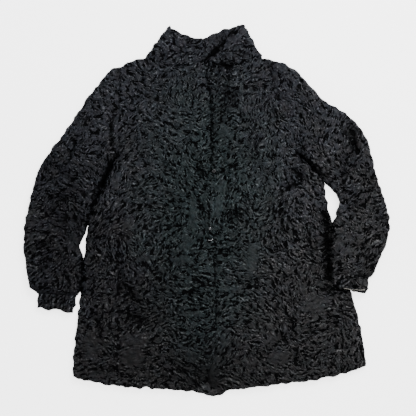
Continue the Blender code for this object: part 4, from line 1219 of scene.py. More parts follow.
def lining_material(name):
    """Pale woven lining with a fine even weave."""
    paint = Paint(name)
    weave = 0.5 * paint.threads("X") + 0.5 * paint.threads("Y")
    cloth = paint.blend(weave, rgb(LINING_GAPS), rgb(LINING_THREADS))
    soil = paint.span(paint.noise(SOIL_SCALE, 3.0), 0.45, 0.8, 0.0, 0.4)
    return paint.finish(
        Base_Color=paint.blend(soil, cloth, rgb(LINING_SOILED)),
        Roughness=0.62 + 0.1 * weave, Sheen_Weight=0.2,
        Normal=paint.bump(weave, 0.0002, 0.5),
    )


def floor_material(name, colour, glow):
    """Pale, even floor with a light of its own."""
    return Paint(name).finish(
        Base_Color=rgb(colour), Roughness=0.9, Specular_IOR_Level=0.1,
        Emission_Color=rgb(colour), Emission_Strength=glow,
    )


def shared_material(name, maker, *arguments):
    """One material by name, made when it is first asked for."""
    return bpy.data.materials.get(name) or maker(name, *arguments)


def fur(context):
    """The material of every piece of fur."""
    return shared_material("fur_curls", fur_material, context.scene.jacket_fur)


# ------------------------------------------------------------------ panels of the body

# Rows and columns of each panel's grid, and how much coarser its other side is.
RIGHT_FRONT_GRID = (490, 176)
LEFT_FRONT_GRID = (460, 190)
BACK_GRID = (220, 220)
FRONT_COARSER = 4
BACK_COARSER = 2
THINNEST_PILE = 0.8

# How far from a side, from the lap or from the neck the folds and the curls begin.
FOLDS_FROM_SIDE = 40.0
FOLDS_FROM_ARM = (45.0, 90.0)
LAP_FROM_NECK = 70.0
LAP_CURLS = 6.0

# The back: rows close to the hem, how much its neck edge is tucked in and where, how flat
# its curls are pressed on the table, and how far it sinks under the fronts.
BACK_HEM_STEPS = tuple(2.4 * step for step in range(26))
NECK_TUCK_PLACE = 20
NECK_TUCK_REACH = 60
BACK_PRESSED = 0.8
BACK_SUNK = 1.0
BACK_SUNK_REACH = 30.0


def panel_mesh(context, name, x, y, low, top, strength):
    """A front: curled above, plain and coarser below."""
    field = fields(context)
    base = np.stack([x, y, top], axis=-1)
    outer = curled(context, base, x, y, strength, np.ones(x.shape, bool))
    outer[..., 2] -= field.at("sunk", x, y)
    outer[..., 2] = np.maximum(outer[..., 2], low + THINNEST_PILE)
    looks = fur_looks(context, x, y, strength, field.at("shade_and_sheen", x, y))
    few = thinned(x.shape, FRONT_COARSER)
    inner = np.stack([x[few], y[few], low[few]], axis=-1)
    below = [(layer, values[few]) for layer, values in looks]
    return shell(
        name, wavered(context, outer), wavered(context, inner), looks, below, fur(context),
    )


def make_front_right(context):
    """The wearer's right front, on top at the centre."""
    plan = Plan(
        SIDE_RIGHT, CENTRE_RIGHT, NECK_RIGHT, HEM_RIGHT, SIDE_RIGHT, RIGHT_FRONT_GRID,
    )
    from_side, from_lap = plan.from_first, plan.from_last
    x = plan.x - leaning(from_side)
    y = plan.y - leaning(plan.from_hem) + leaning(plan.from_neck)
    low = lap_over_low(from_lap)
    neck_calm = smooth(0.0, LAP_FROM_NECK, plan.from_neck)
    lap_rise = LAP_NECK_RISE + (LAP_OVER_TOP_RISE - LAP_NECK_RISE) * neck_calm
    folds = folds_at(FOLDS_RIGHT, x, y) * smooth(0.0, FOLDS_FROM_SIDE, from_side)
    wall = FRONT_WALL + folds
    wall = wall + lap_rise * (1 - smooth(LAP_OVER_STEP, LAP_OVER_TOP_END, from_lap))
    pile = FRONT_LOW + wall - low
    pile = np.minimum(pile, plan.side_height(from_side, pile))
    pile = np.minimum(pile, border_thin(from_lap, BORDER_REACH, BORDER_EDGE, pile))
    pile = plan.rounded(pile)
    piece = panel_mesh(context, "right_front", x, y, low, low + pile, np.ones_like(x))
    dress(
        piece, "front_right",
    )


def make_front_left(context):
    """The wearer's left front, which runs under the lap."""
    plan = Plan(CENTRE_LEFT, SIDE_LEFT, NECK_LEFT, HEM_LEFT, SIDE_LEFT, LEFT_FRONT_GRID)
    from_lap, from_side = plan.from_first, plan.from_last
    x = plan.x + leaning(from_side)
    y = plan.y - leaning(plan.from_hem) + leaning(plan.from_neck)
    past_lap = smooth(LAP_FLAT_END, LAP_RISE_END, from_lap)
    calm = smooth(*FOLDS_FROM_ARM, from_side) * past_lap
    lap = LAP_UNDER_TOP - FRONT_LOW
    wall = FRONT_WALL + folds_at(FOLDS_LEFT, x, y) * calm
    wall = lap + (wall - lap) * past_lap
    edge_drop = (LAP_UNDER_TOP - LAP_UNDER_EDGE_TOP) / LAP_TAPER
    wall = wall - edge_drop * np.clip(LAP_TAPER - from_lap, 0.0, LAP_TAPER)
    wall = wall + folds_at(TUFTS, x, y)
    pile = plan.rounded(np.minimum(wall, plan.side_height(from_side, wall)))
    strength = smooth(LAP_WIDTH - LAP_CURLS, LAP_WIDTH + LAP_CURLS, from_lap)
    low = np.full_like(x, FRONT_LOW)
    piece = panel_mesh(context, "left_front", x, y, low, low + pile, strength)
    dress(
        piece, "front_left",
    )


def make_back(context):
    """The back, which lies on the table with its flattened curls."""
    plan = Plan(
        SIDE_RIGHT, SIDE_LEFT, NECK_BACK, HEM_BACK, SIDE_RIGHT, BACK_GRID, BACK_HEM_STEPS,
    )
    x, y = plan.x, plan.y
    for side, gap, zones in (
        (-1, plan.from_first, TOUCHING_RIGHT), (1, plan.from_last, TOUCHING_LEFT),
    ):
        tuck = BACK_TUCK * touching(zones, y) * (1 - smooth(0.0, BACK_TUCK_REACH, gap))
        x = x + side * (tuck + leaning(gap))
    neck = NECK_TUCK * np.exp(-((x - NECK_TUCK_PLACE) / NECK_TUCK_REACH) ** 2)
    y = y - leaning(plan.from_hem) + leaning(plan.from_neck) * (1 + neck)
    from_side = np.minimum(plan.from_first, plan.from_last)
    from_ends = np.minimum(plan.from_neck, plan.from_hem)
    wall = plan.side_height(from_side, BACK_WALL)
    wall = np.minimum(wall, border_thin(from_ends, BORDER_REACH, BORDER_EDGE, BACK_WALL))
    field = fields(context)
    pressed = BACK_PRESSED * np.maximum(-field.at("rise", -x, y), 0.0)
    under = np.stack([x, y, BACK_WALL - wall + pressed], axis=-1)
    sunk = smooth(0.0, BACK_SUNK_REACH, from_ends)
    top = BACK_WALL + field.at("rise", x, y) * (1 - sunk) - BACK_SUNK * sunk
    few = thinned(x.shape, BACK_COARSER)
    above = np.stack([x[few], y[few], top[few]], axis=-1)
    ones = np.ones_like(x)
    piece = shell(
        "back_panel_fur", wavered(context, under), wavered(context, above),
        fur_looks(context, -x, y, ones, ones),
        fur_looks(context, x[few], y[few], ones[few], ones[few]), fur(context),
    )
    dress(piece, "back_panel")


# -------------------------------------------------------------- sleeves, cuffs, lining

# Stations round a tube: on its upper side, round each edge and on its lower side; then
# its rings outside and inside.
SLEEVE_STEPS = (96, 12, 34)
CUFF_STEPS = (70, 10, 30)
RIGHT_SLEEVE_RINGS = (300, 30)
LEFT_SLEEVE_RINGS = (290, 30)
RIGHT_CUFF_RINGS = (30, 6)
LEFT_CUFF_RINGS = (26, 6)

# How far from a tube's edges its folds and its gathers begin, the stretches at its ends
# that slip under the armhole and over the cuff, the rings and stations at its ends and
# its seam over which the curls begin, the height over which the hollows begin, and the
# stations at the edges of its upper side that don't tell which way is up.
TUBE_FOLDS = 16.0
TUBE_GATHERS = 9.0
TUBE_FIRST = (0.0, 0.012)
TUBE_LAST = (0.985, 1.0)
TUBE_END_CALM = 4.0
TUBE_SEAM_CALM = 3.0
TUBE_HOLLOWS = 8.0
TUBE_RIM = 5

# Shares of a ring's height over which its upper side begins; the share of the left cuff
# from which its mouth opens; the lean of the mouth's bow; shares of the width over which
# its lower lip begins and ends, and of the height below which it hangs; how much, how
# often and from where the ribs of the gathers stray.
UPPER_SIDE = (0.0, 0.9)
MOUTH_FROM = 0.3
BOW_LEAN = 0.6
LIP_START = (0.46, 0.62)
LIP_END = (1.04, 0.97)
LIP_BELOW = (0.1, 0.9)
RIB_STRAY = 0.9
RIB_STRAY_WAVE = 0.31
RIB_STRAY_START = 1.0


def between_rings(table, count):
    """Rings at even steps along a tube, on smooth curves through the table's rings."""
    table = np.array(table, float)
    middle = (table[:, :2] + table[:, 2:4]) / 2
    outer = table[:, 2:4]
    run = np.linalg.norm(np.diff(middle, axis=0), axis=1)
    run = run + np.linalg.norm(np.diff(outer, axis=0), axis=1)
    along = np.concatenate([[0.0], np.cumsum(run)])
    t = np.interp(np.linspace(0.0, along[-1], count), along, np.arange(len(table)))
    index = np.clip(t.astype(int), 0, len(table) - 2)
    f = (t - index)[:, None]
    before = table[np.maximum(index - 1, 0)]
    start = table[index]
    end = table[index + 1]
    after = table[np.minimum(index + 2, len(table) - 1)]
    bend = 2 * before - 5 * start + 4 * end - after
    twist = 3 * start - 3 * end + after - before
    return start + 0.5 * f * (end - before + f * (bend + f * twist))


def stadium(width, radius, flat_steps, arc_steps, low_steps):
    """Flattened ring: across, height and run along the skin, from the inner edge's top."""
    flat = np.linspace(radius, width - radius, flat_steps, endpoint=False)
    turn = np.linspace(math.pi / 2, -math.pi / 2, arc_steps, endpoint=False)
    below = np.linspace(width - radius, radius, low_steps, endpoint=False)
    outward = width - radius + radius * np.cos(turn)
    inward = radius - radius * np.cos(turn)
    across = np.concatenate([flat, outward, below, inward, [radius]])
    height = np.concatenate([
        np.full(flat_steps, radius),
        radius * np.sin(turn),
        np.full(low_steps, -radius),
        -radius * np.sin(turn),
        [radius],
    ])
    arc = radius * (math.pi / 2 - turn)
    half_turn = math.pi * radius
    run = np.concatenate([
        flat,
        width - radius + arc,
        width - radius + half_turn + (width - radius - below),
        radius - half_turn + arc,
        [radius],
    ])
    return across, height, run


def ring_frame(row):
    """Start, direction across, direction onwards and width of one ring."""
    start = np.array(row[:2])
    run = np.array(row[2:4]) - start
    width = np.linalg.norm(run)
    run = run / width
    onward = np.array([run[1], -run[0]])
    return start, run, onward * -np.sign(onward[1]), width


def lifted(row, across):
    """Height of a ring's middle, raised off the table along its inner edge."""
    thick, _, lift, strip = row[4:]
    return lift * (1 - smooth(strip, strip + LIFT_RAMP, across)) + thick / 2


def mouth_bow(share):
    """How far the mouth of the left cuff bows out, across its width."""
    return CUFF_BOW * np.sin(math.pi * share ** BOW_LEAN)


def mouth_lip(share):
    """How far the lower lip of the left cuff hangs out past the upper one."""
    return CUFF_LIP * smooth(*LIP_START, share) * smooth(*LIP_END, share)


def gathered(share, gathers):
    """Ribs of a gathered cuff across its width, unevenly apart; a plain tube has none."""
    wave = 2 * math.pi * gathers * share
    stray = RIB_STRAY * np.sin(wave * RIB_STRAY_WAVE + RIB_STRAY_START)
    return np.cos(wave + stray) * (gathers > 0)


def ring_points(row, steps, folds, gathers, forth, open_mouth):
    """Outer and inner points of one flattened ring, its fur's plan places and the painted light
    and shade of its gathers.
    """
    thick, crown = row[4:6]
    start, run, onward, width = ring_frame(row)
    radius = thick / 2
    wall = radius - SLEEVE_VOID / 2

    def placed(across, height, low_share, raised):
        share = across / width
        lip = mouth_lip(share) * smooth(*LIP_BELOW, low_share)
        out = forth + open_mouth * (mouth_bow(share) + lip)
        plan = start + across[:, None] * run + out[:, None] * onward
        return np.column_stack([plan, lifted(row, across) + height + raised])

    across, height, skin = stadium(width, radius, *steps)
    places = start + across[:, None] * run
    upper = smooth(*UPPER_SIDE, height / radius)
    edge = np.minimum(across, width - across)
    dome = crown * np.sin(math.pi * across / width)
    relief = folds_at(folds, places[:, 0], places[:, 1]) * smooth(0.0, TUBE_FOLDS, edge)
    ribs = gathered(across / width, gathers)
    rib_rise = CUFF_GATHER_HEIGHT * ribs * smooth(0.0, TUBE_GATHERS, edge)
    outer = placed(across, height, -height / radius, upper * (dome + relief + rib_rise))
    across, height, _ = stadium(width - 2 * wall, SLEEVE_VOID / 2, *steps)
    inner = placed(across + wall, height, -2 * height / SLEEVE_VOID, 0.0)
    hide = start + skin[:, None] * run
    return outer, inner, hide[:, 0], hide[:, 1], 1 + CUFF_RIB_SHADE * ribs


def make_tube(context, name, table, folds, ring_counts, steps, gathers=0, armhole=0.0,
              wrist=0.0, open_mouth=0.0):
    """A sleeve or a cuff: a flattened tube with curls all round."""
    count, inner_count = ring_counts
    rings = []
    place = np.linspace(0.0, 1.0, count)
    for row, share in zip(between_rings(table, count), place):
        forth = armhole * (1 - smooth(*TUBE_FIRST, share)) + wrist * smooth(*TUBE_LAST, share)
        mouth = open_mouth * smooth(MOUTH_FROM, 1.0, share)
        rings.append(ring_points(row, steps, folds, gathers, forth, mouth))
    outer, inner, fur_x, fur_y, shade = (np.array(part) for part in zip(*rings))
    seam_gap = np.abs(np.arange(outer.shape[1]) - sum(steps))
    ends = np.minimum(place, 1 - place)[:, None] * count
    strength = smooth(0.0, TUBE_END_CALM, ends) * smooth(0.0, TUBE_SEAM_CALM, seam_gap)
    top = np.zeros(outer.shape[:2], bool)
    top[:, TUBE_RIM:steps[0] - TUBE_RIM] = True
    raised = curled(context, outer, fur_x, fur_y, strength, top, around=True)
    field = fields(context)
    x, y, z = outer[..., 0], outer[..., 1], outer[..., 2]
    above = smooth(0.0, TUBE_HOLLOWS, z - 0.5 * table[0][4])
    raised[..., 2] -= field.at("sunk", x, y) * above
    raised[..., 2] = np.maximum(raised[..., 2], 0.0)
    looks = fur_looks(context, fur_x, fur_y, strength, field.at("shade_and_sheen", x, y) * shade)
    kept = np.linspace(0, count - 1, inner_count).astype(int)
    return tube(
        name, wavered(context, raised), wavered(context, inner[kept]), looks, fur(context),
    )


def nestled(table, zones):
    """Rings with the reach of the pile, close against the body where they touch it."""
    rings = []
    for row in table:
        _, run, _, _ = ring_frame(row)
        inner = -max(PILE_REACH, SLEEVE_NESTLE * touching(zones, row[1])) * run
        outer = PILE_REACH * run
        edges = (row[0] + inner[0], row[1] + inner[1], row[2] + outer[0], row[3] + outer[1])
        rings.append((*edges, *row[4:]))
    return rings


def make_sleeves(context):
    """Both sleeves, from the armhole to the wrist."""
    right = make_tube(
        context, "right_sleeve", nestled(SLEEVE_RIGHT, TOUCHING_RIGHT),
        FOLDS_SLEEVE_RIGHT, RIGHT_SLEEVE_RINGS, SLEEVE_STEPS,
        armhole=ARMHOLE_LAP, wrist=SLEEVE_LAP,
    )
    dress(right, "sleeve_right")
    left = make_tube(
        context, "left_sleeve", nestled(SLEEVE_LEFT, TOUCHING_LEFT),
        FOLDS_SLEEVE_LEFT, LEFT_SLEEVE_RINGS, SLEEVE_STEPS,
        armhole=ARMHOLE_LAP, wrist=SLEEVE_LAP,
    )
    dress(
        left, "sleeve_left",
    )


def make_cuffs(context):
    """Both gathered cuffs; the mouth of the left one stands a little open."""
    right = make_tube(
        context, "right_cuff", nestled(CUFF_RIGHT, ()), (), RIGHT_CUFF_RINGS, CUFF_STEPS,
        gathers=CUFF_GATHERS,
    )
    dress(right, "cuff_right")
    left = make_tube(
        context, "left_cuff", CUFF_LEFT, (), LEFT_CUFF_RINGS, CUFF_STEPS,
        gathers=CUFF_GATHERS, open_mouth=1.0,
    )
    dress(left, "cuff_left")


def void_roof(row, shares):
    """Points along the roof of a flattened ring's hollow, and their share of its width."""
    start, run, _, width = ring_frame(row)
    across = row[4] / 2 + shares * (width - row[4])
    plan = start + across[:, None] * run
    return np.column_stack([plan, lifted(row, across) + SLEEVE_VOID / 2]), across / width


def make_lining(context):
    """The edge of the lining that shows in the mouth of the left cuff."""
    shares = np.linspace(LINING_FIRST_SHARE, 1.0, LINING_STATIONS)
    mouth, across = void_roof(CUFF_LEFT[-1], shares)
    inside, _ = void_roof(CUFF_LEFT[-2], shares)
    outwards = mouth - inside
    outwards[:, 2] = 0.0
    outwards = outwards / np.linalg.norm(outwards, axis=1)[:, None]
    mouth = mouth + outwards * mouth_bow(across)[:, None]
    inside = inside + outwards * mouth_bow(across)[:, None]
    rows = [mouth + (inside - mouth) * share for share in LINING_INSIDE]
    rows.extend(mouth + outwards * LINING_PROUD * share for share in LINING_OUTSIDE)
    roof = np.array(rows) - np.array([0.0, 0.0, LINING_CLEAR])
    roof[-1, :, 2] -= LINING_ROUND
    floor = np.array(rows) - np.array([0.0, 0.0, LINING_CLEAR + LINING_THICK])
    floor[-1, :, 2] += LINING_ROUND
    looks = [("shade_and_sheen", np.ones(roof.shape[:2]))]
    piece = shell(
        "cuff_lining", wavered(context, roof), wavered(context, floor), looks, looks,
        shared_material("lining_weave", lining_material),
    )
    dress(
        piece, "cuff_lining_left",
    )


# ------------------------------------------------------------------------------ collar

# Stations on the collar's right half, on its back, on its left half and round a fold, and
# rows from its seam to its top.
COLLAR_RIGHT_STEPS = 90
COLLAR_BACK_STEPS = 130
COLLAR_LEFT_STEPS = 80
COLLAR_FOLD_STEPS = 13
COLLAR_ROWS = 46

# How thin the band gets at its top and at its seam, and over what reach at its top; the places
# in the fields where the curls of its hidden side and its lower layer are read; how much lower
# the hidden side's curls are, and how much they are darkened with painted shade; the width of
# the dropped tip and the rows it drops over; the stations over which the right half lifts.
COLLAR_TOP_THIN = 0.45
COLLAR_SEAM_THIN = 0.7
COLLAR_TOP_REACH = 6.3
HIDDEN_SIDE_X = 300.0
LOWER_LAYER_Y = 500.0
HIDDEN_SIDE_DEPTH = 0.6
HIDDEN_SIDE_SHADE = 0.9
COLLAR_TIP_WIDTH = 7.0
COLLAR_TIP_ROWS = (0.8, 1.0)
COLLAR_LIFTED = (0.5, 1.0)


def collar_flat(seam, top, from_fold, v, steps, both_ends=False):
    """Stations of a flat stretch of the collar, from one fold to its far end."""
    first_seam = np.array(seam[0], float)
    first_top = np.array(top[0], float)
    fold_point = first_seam + (first_top - first_seam) * v
    end_seam = np.array(seam[-1], float)
    end_top = np.array(top[-1], float)
    length = np.linalg.norm(end_seam + (end_top - end_seam) * v - fold_point)
    start = from_fold / length
    end = 1 - start if both_ends else 1.0
    t = np.linspace(start, end, steps)
    seam_line = line_at(seam, t, 0)
    top_line = line_at(top, t, 0)
    return seam_line + (top_line - seam_line) * v, t, fold_point


def collar_layer(places, height, facing):
    """Points and normals of a flat layer; facing is 1 for up and -1 for down."""
    points = np.column_stack([places, np.broadcast_to(height, len(places))])
    return points, np.tile((0.0, 0.0, facing), (len(places), 1))


def collar_fold(upper, lower, fold, side, radius, centre):
    """Points and normals round a fold, from the upper layer's end to the lower one's."""
    turn = np.linspace(math.pi / 2, -math.pi / 2, COLLAR_FOLD_STEPS)[1:-1]
    middle = upper + (lower - upper) * (0.5 - turn / math.pi)[:, None]
    out = np.cos(turn)
    x = middle[:, 0] + side * radius * out
    y = middle[:, 1] + (fold[1] - middle[:, 1]) * out
    points = np.column_stack([x, y, centre + radius * np.sin(turn)])
    return points, np.column_stack([side * out, np.zeros(len(turn)), np.sin(turn)])


def collar_section(v):
    """One run round the collar at height v: its middle line and the normals on it."""
    radius = (COLLAR_WALL + COLLAR_GAP) / 2
    reach = radius + COLLAR_WALL / 2
    centre = BACK_WALL + COLLAR_GAP / 2
    right, t, right_fold = collar_flat(
        COLLAR_RIGHT_SEAM, COLLAR_RIGHT_TOP, reach, v, COLLAR_RIGHT_STEPS,
    )
    back, _, _ = collar_flat(
        COLLAR_BACK_SEAM, COLLAR_BACK_TOP, reach, v, COLLAR_BACK_STEPS, both_ends=True,
    )
    left, _, left_fold = collar_flat(
        COLLAR_LEFT_SEAM, COLLAR_LEFT_TOP, reach, v, COLLAR_LEFT_STEPS,
    )
    lift = COLLAR_LIFT * smooth(*COLLAR_LIFTED, t)
    right_layer = collar_layer(right, centre + radius + lift, 1.0)
    left_turn = collar_fold(left[0], back[-1], left_fold, 1.0, radius, centre)
    parts = (
        [part[::-1] for part in right_layer],
        collar_fold(right[0], back[0], right_fold, -1.0, radius, centre),
        collar_layer(back, centre - radius, -1.0),
        [part[::-1] for part in left_turn],
        collar_layer(left, centre + radius, 1.0),
    )
    return (np.concatenate(part) for part in zip(*parts))


def make_collar(context):
    """The stand collar: one band that lies folded at both sides of the neck."""
    levels = fractions(COLLAR_HEIGHT, BORDER_STEPS, BORDER_STEPS, COLLAR_ROWS)
    field = fields(context)
    outer = []
    inner = []
    for v in levels:
        middle, normal = collar_section(v)
        run = np.linalg.norm(np.diff(middle, axis=0), axis=1)
        along = np.concatenate([[0.0], np.cumsum(run)])
        to_edge = np.minimum(along, along[-1] - along)
        to_edge = np.minimum(to_edge, (1 - v) * COLLAR_HEIGHT)
        thin = border_thin(to_edge, COLLAR_TOP_REACH, COLLAR_TOP_THIN, 1.0)
        seam = border_thin(v * COLLAR_HEIGHT, SEAM_REACH, COLLAR_SEAM_THIN, 1.0)
        thin = np.minimum(thin, seam)
        half = COLLAR_WALL / 2 * thin
        lower = normal[:, 2] <= 0
        x, y = middle[:, 0], middle[:, 1]
        hidden = (x + HIDDEN_SIDE_X, y + LOWER_LAYER_Y * (1 - lower), HIDDEN_SIDE_DEPTH)
        shown = (x, y + LOWER_LAYER_Y * lower, 1)
        for side, (fur_x, fur_y, depth), made in ((1, shown, outer), (-1, hidden, inner)):
            rise = field.at("rise", fur_x, fur_y) * depth * thin
            made.append((middle + side * normal * (half + rise)[:, None], fur_x, fur_y))
    points = []
    looks = []
    # The hidden side, which shows inside the back of the collar, is darkened with painted shade.
    for made, bright in ((outer, 1.0), (inner, HIDDEN_SIDE_SHADE)):
        place, x, y = (np.array(part) for part in zip(*made))
        tip = np.exp(-((place[..., 0] - COLLAR_RIGHT_TOP[0][0]) / COLLAR_TIP_WIDTH) ** 2)
        place[..., 1] -= COLLAR_TIP_DROP * tip * smooth(*COLLAR_TIP_ROWS, levels)[:, None]
        place[..., 2] = np.maximum(place[..., 2], 0.0)
        points.append(wavered(context, place))
        shade_and_sheen = bright * field.at("shade_and_sheen", place[..., 0], place[..., 1])
        looks.append(fur_looks(context, x, y, np.ones_like(x), shade_and_sheen))
    piece = shell("collar_band", *points, *looks, fur(context))
    dress(piece, "collar")


# ---------------------------------------------------------------------------- closures

# Darkest and brightest grey of the eye's wire, darkened as painted shade, and of the hook's
# wire, brightened as painted glints.
SHADED_STEEL = (0.03, 0.08)
GLINTING_STEEL = (0.11, 0.30)


def wire(name, run, closed, material):
    """A bent wire with round, closed ends."""
    curve = bpy.data.curves.new(name, "CURVE")
    curve.dimensions = "3D"
    curve.bevel_depth = WIRE_RADIUS * MM
    curve.bevel_resolution = 5
    curve.use_fill_caps = not closed
    curve.resolution_u = 10
    spline = curve.splines.new("NURBS")
    spline.points.add(len(run) - 1)
    for point, (x, y, z) in zip(spline.points, run):
        point.co = (x * MM, y * MM, z * MM, 1.0)
    spline.order_u = 3
    spline.use_endpoint_u = not closed
    spline.use_cyclic_u = closed
    curve.materials.append(material)
    return linked(name, curve)


def make_closures(context):
    """The metal eye and the fur hook that lie in the lap."""
    shaded_wire = shared_material("steel_wire_shaded", steel_material, *SHADED_STEEL)
    glinting_wire = shared_material("steel_wire_glinting", steel_material, *GLINTING_STEEL)
    rest = LAP_UNDER_TOP + LAYER_GAP + WIRE_RADIUS
    circle = []
    for step in range(EYE_STEPS):
        angle = 2 * math.pi * step / EYE_STEPS
        x = EYE_PLACE[0] + EYE_RADIUS * math.cos(angle)
        circle.append((x, EYE_PLACE[1] + EYE_RADIUS * math.sin(angle), rest))
    eye = wire("eye_ring", circle, True, shaded_wire)
    dress(eye, "closure_eye_upper")
    run = [(x, y, rest + rise) for x, y, rise in HOOK_RUN]
    hook = wire("fur_hook", run, False, glinting_wire)
    dress(hook, "closure_hook_lower")


# ------------------------------------------------------------------------------- stage

# Camera sensor in millimetres, diameters of the lights, place of the overhead one, in
# metres, and colour of the even light all round.
SENSOR_WIDTH = 36.0
KEY_SIZE = 1.3
OVERHEAD_SIZE = 2.4
OVERHEAD_PLACE = (0.2, 0.1, 3.4)
AMBIENT_COLOUR = (0.97, 0.98, 1.0)


def make_floor(settings):
    """A square floor under the jacket."""
    bm = bmesh.new()
    bmesh.ops.create_grid(bm, x_segments=2, y_segments=2, size=settings.floor_size / 2)
    mesh = bpy.data.meshes.new("floor")
    bm.to_mesh(mesh)
    bm.free()
    mesh.materials.append(
        floor_material("pale_floor", settings.floor_colour, settings.floor_glow)
    )
    linked("floor", mesh)


def make_camera(settings):
    """A camera straight above the jacket."""
    camera = bpy.data.cameras.new("overhead_camera")
    camera.lens = settings.lens
    camera.sensor_width = SENSOR_WIDTH
    seen = linked("overhead_camera", camera)
    seen.location = (*settings.aim, settings.camera_height)
    bpy.context.scene.camera = seen


def make_light(name, place, size, power):
    """A round soft light that points at the jacket."""
    lamp = bpy.data.lights.new(name, "AREA")
    lamp.shape = "DISK"
    lamp.size = size
    lamp.energy = power
    light = linked(name, lamp)
    light.location = place
    light.rotation_mode = "QUATERNION"
    light.rotation_quaternion = (-Vector(place)).to_track_quat("-Z", "Y")


def make_world(strength):
    """Even light from all round."""
    world = bpy.data.worlds.new("studio")
    world.use_nodes = True
    backdrop = world.node_tree.nodes["Background"]
    backdrop.inputs["Color"].default_value = rgb(AMBIENT_COLOUR)
    backdrop.inputs["Strength"].default_value = strength
    bpy.context.scene.world = world


def make_stage(context):
    """Floor, camera and lights."""
    settings = context.scene.jacket_stage
    make_floor(settings)
    make_camera(settings)
    make_light("key_softbox", settings.key_place, KEY_SIZE, settings.key_power)
    make_light("overhead_softbox", OVERHEAD_PLACE, OVERHEAD_SIZE, settings.fill_power)
    make_world(settings.world_strength)


# ------------------------------------------------------------- settings and operators

class CurlSettings(bpy.types.PropertyGroup):
    """Sizes of the fur's curls."""

    width: bpy.props.FloatProperty(
        name="Curl width", description="Distance from one small curl to the next",
        default=0.0087, unit="LENGTH",
    )
    depth: bpy.props.FloatProperty(
        name="Curl depth", description="Height from the partings to the crests",
        default=0.0026, unit="LENGTH",
    )
    waver: bpy.props.FloatProperty(
        name="Waver", description="How far borders and seams stray from their lines",
        default=0.0011, unit="LENGTH",
    )


class FurSettings(bpy.types.PropertyGroup):
    """Colours and gloss of the fur."""

    fill: bpy.props.FloatVectorProperty(
        name="Fur", description="Colour of the curls near the centre", subtype="COLOR",
        default=(0.0075, 0.0103, 0.0109), min=0.0, max=1.0,
    )
    fill_cool: bpy.props.FloatVectorProperty(
        name="Fur at the shoulders", description="Colour of the curls round the shoulders",
        subtype="COLOR", default=(0.0084, 0.0089, 0.0109), min=0.0, max=1.0,
    )
    fill_warm: bpy.props.FloatVectorProperty(
        name="Fur at the hem", description="Colour of the curls round the hem",
        subtype="COLOR", default=(0.0089, 0.0089, 0.0093), min=0.0, max=1.0,
    )
    # Partly the fur's own black and partly painted shade in the grooves.
    parting: bpy.props.FloatVectorProperty(
        name="Partings", description="Colour between the curls", subtype="COLOR",
        default=(0.0005, 0.0005, 0.0006), min=0.0, max=1.0,
    )
    gloss: bpy.props.FloatProperty(
        name="Gloss", description="Shine on the crests of the curls", default=0.07,
        min=0.0, max=1.0, subtype="FACTOR",
    )
    lustre: bpy.props.FloatProperty(
        name="Lustre", description="Shine on the flat of the curls", default=0.04,
        min=0.0, max=1.0, subtype="FACTOR",
    )


class StageSettings(bpy.types.PropertyGroup):
    """Camera, lights and floor."""

    camera_height: bpy.props.FloatProperty(
        name="Camera height", description="Height of the camera over the floor",
        default=2.61, unit="LENGTH",
    )
    lens: bpy.props.FloatProperty(
        name="Lens", description="Focal length of the camera in millimetres",
        default=90.0, unit="CAMERA",
    )
    aim: bpy.props.FloatVectorProperty(
        name="Aim", description="Place on the floor under the camera", size=2,
        default=(0.00375, 0.005), unit="LENGTH",
    )
    floor_size: bpy.props.FloatProperty(
        name="Floor size", description="Side of the square floor", default=8.0,
        unit="LENGTH",
    )
    floor_colour: bpy.props.FloatVectorProperty(
        name="Floor", description="Colour of the floor", subtype="COLOR",
        default=(0.85, 0.85, 0.85), min=0.0, max=1.0,
    )
    floor_glow: bpy.props.FloatProperty(
        name="Floor glow", description="Light of the floor's own, as on a light table",
        default=2.6, min=0.0, subtype="UNSIGNED",
    )
    key_place: bpy.props.FloatVectorProperty(
        name="Key light", description="Place of the soft key light", size=3,
        default=(0.9, 1.7, 1.9), unit="LENGTH",
    )
    key_power: bpy.props.FloatProperty(
        name="Key power", description="Power of the key light in watts", default=110.0,
        min=0.0, unit="POWER",
    )
    fill_power: bpy.props.FloatProperty(
        name="Overhead power", description="Power of the overhead light in watts",
        default=110.0, min=0.0, unit="POWER",
    )
    world_strength: bpy.props.FloatProperty(
        name="Ambient light", description="Strength of the even light all round",
        default=1.2, min=0.0, subtype="UNSIGNED",
    )


class Maker:
    """What every operator does: run its makers in order."""

    def execute(self, context):
        for make in self.makers:
            make(context)
        return {"FINISHED"}


class JACKET_OT_stage(Maker, bpy.types.Operator):
    """Set up the floor, the camera and the lights"""

    bl_idname = "jacket.stage"
    bl_label = "Stage"
    makers = (make_stage,)


class JACKET_OT_back(Maker, bpy.types.Operator):
    """Build the back panel, which lies on the table"""

    bl_idname = "jacket.back"
    bl_label = "Back"
    makers = (make_back,)


class JACKET_OT_fronts(Maker, bpy.types.Operator):
    """Build the two fronts, the right one lapped over the left one"""

    bl_idname = "jacket.fronts"
    bl_label = "Fronts"
    makers = (make_front_left, make_front_right)


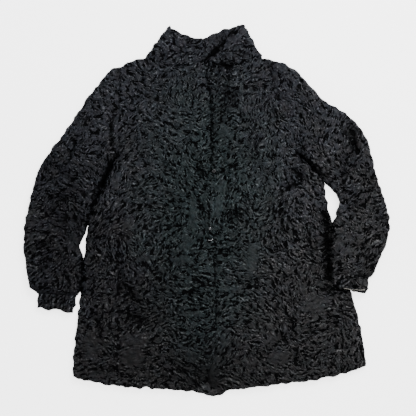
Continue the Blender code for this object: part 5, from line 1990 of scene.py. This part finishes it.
class JACKET_OT_sleeves(Maker, bpy.types.Operator):
    """Build both sleeves"""

    bl_idname = "jacket.sleeves"
    bl_label = "Sleeves"
    makers = (make_sleeves,)


class JACKET_OT_cuffs(Maker, bpy.types.Operator):
    """Build both gathered cuffs and the lining's edge in the left one"""

    bl_idname = "jacket.cuffs"
    bl_label = "Cuffs"
    makers = (make_cuffs, make_lining)


class JACKET_OT_collar(Maker, bpy.types.Operator):
    """Build the stand collar"""

    bl_idname = "jacket.collar"
    bl_label = "Collar"
    makers = (make_collar,)


class JACKET_OT_closures(Maker, bpy.types.Operator):
    """Build the wire eye and the fur hook"""

    bl_idname = "jacket.closures"
    bl_label = "Closures"
    makers = (make_closures,)


OPERATORS = (
    JACKET_OT_stage, JACKET_OT_back, JACKET_OT_fronts, JACKET_OT_sleeves, JACKET_OT_cuffs,
    JACKET_OT_collar, JACKET_OT_closures,
)


class JACKET_PT_panel(bpy.types.Panel):
    """Lists the jacket's operators and settings"""

    bl_idname = "JACKET_PT_panel"
    bl_label = "Curly lamb jacket"
    bl_space_type = "VIEW_3D"
    bl_region_type = "UI"
    bl_category = "Jacket"

    def draw(self, context):
        scene = context.scene
        for group in (scene.jacket_curls, scene.jacket_fur, scene.jacket_stage):
            box = self.layout.box()
            for name in group.__annotations__:
                box.prop(group, name)
        for operator in OPERATORS:
            self.layout.operator(operator.bl_idname)


SETTINGS = {
    "jacket_curls": CurlSettings,
    "jacket_fur": FurSettings,
    "jacket_stage": StageSettings,
}
CLASSES = (*SETTINGS.values(), *OPERATORS, JACKET_PT_panel)


def register():
    """Add the classes, and the settings to every scene."""
    for cls in CLASSES:
        bpy.utils.register_class(cls)
    for name, cls in SETTINGS.items():
        setattr(bpy.types.Scene, name, bpy.props.PointerProperty(type=cls))


def unregister():
    """Take the settings and the classes away."""
    for name in SETTINGS:
        delattr(bpy.types.Scene, name)
    for cls in reversed(CLASSES):
        bpy.utils.unregister_class(cls)


def main():
    """Build the jacket and its stage."""
    register()
    for operator in OPERATORS:
        group, name = operator.bl_idname.split(".")
        getattr(getattr(bpy.ops, group), name)()


if __name__ == "__main__":
    main()
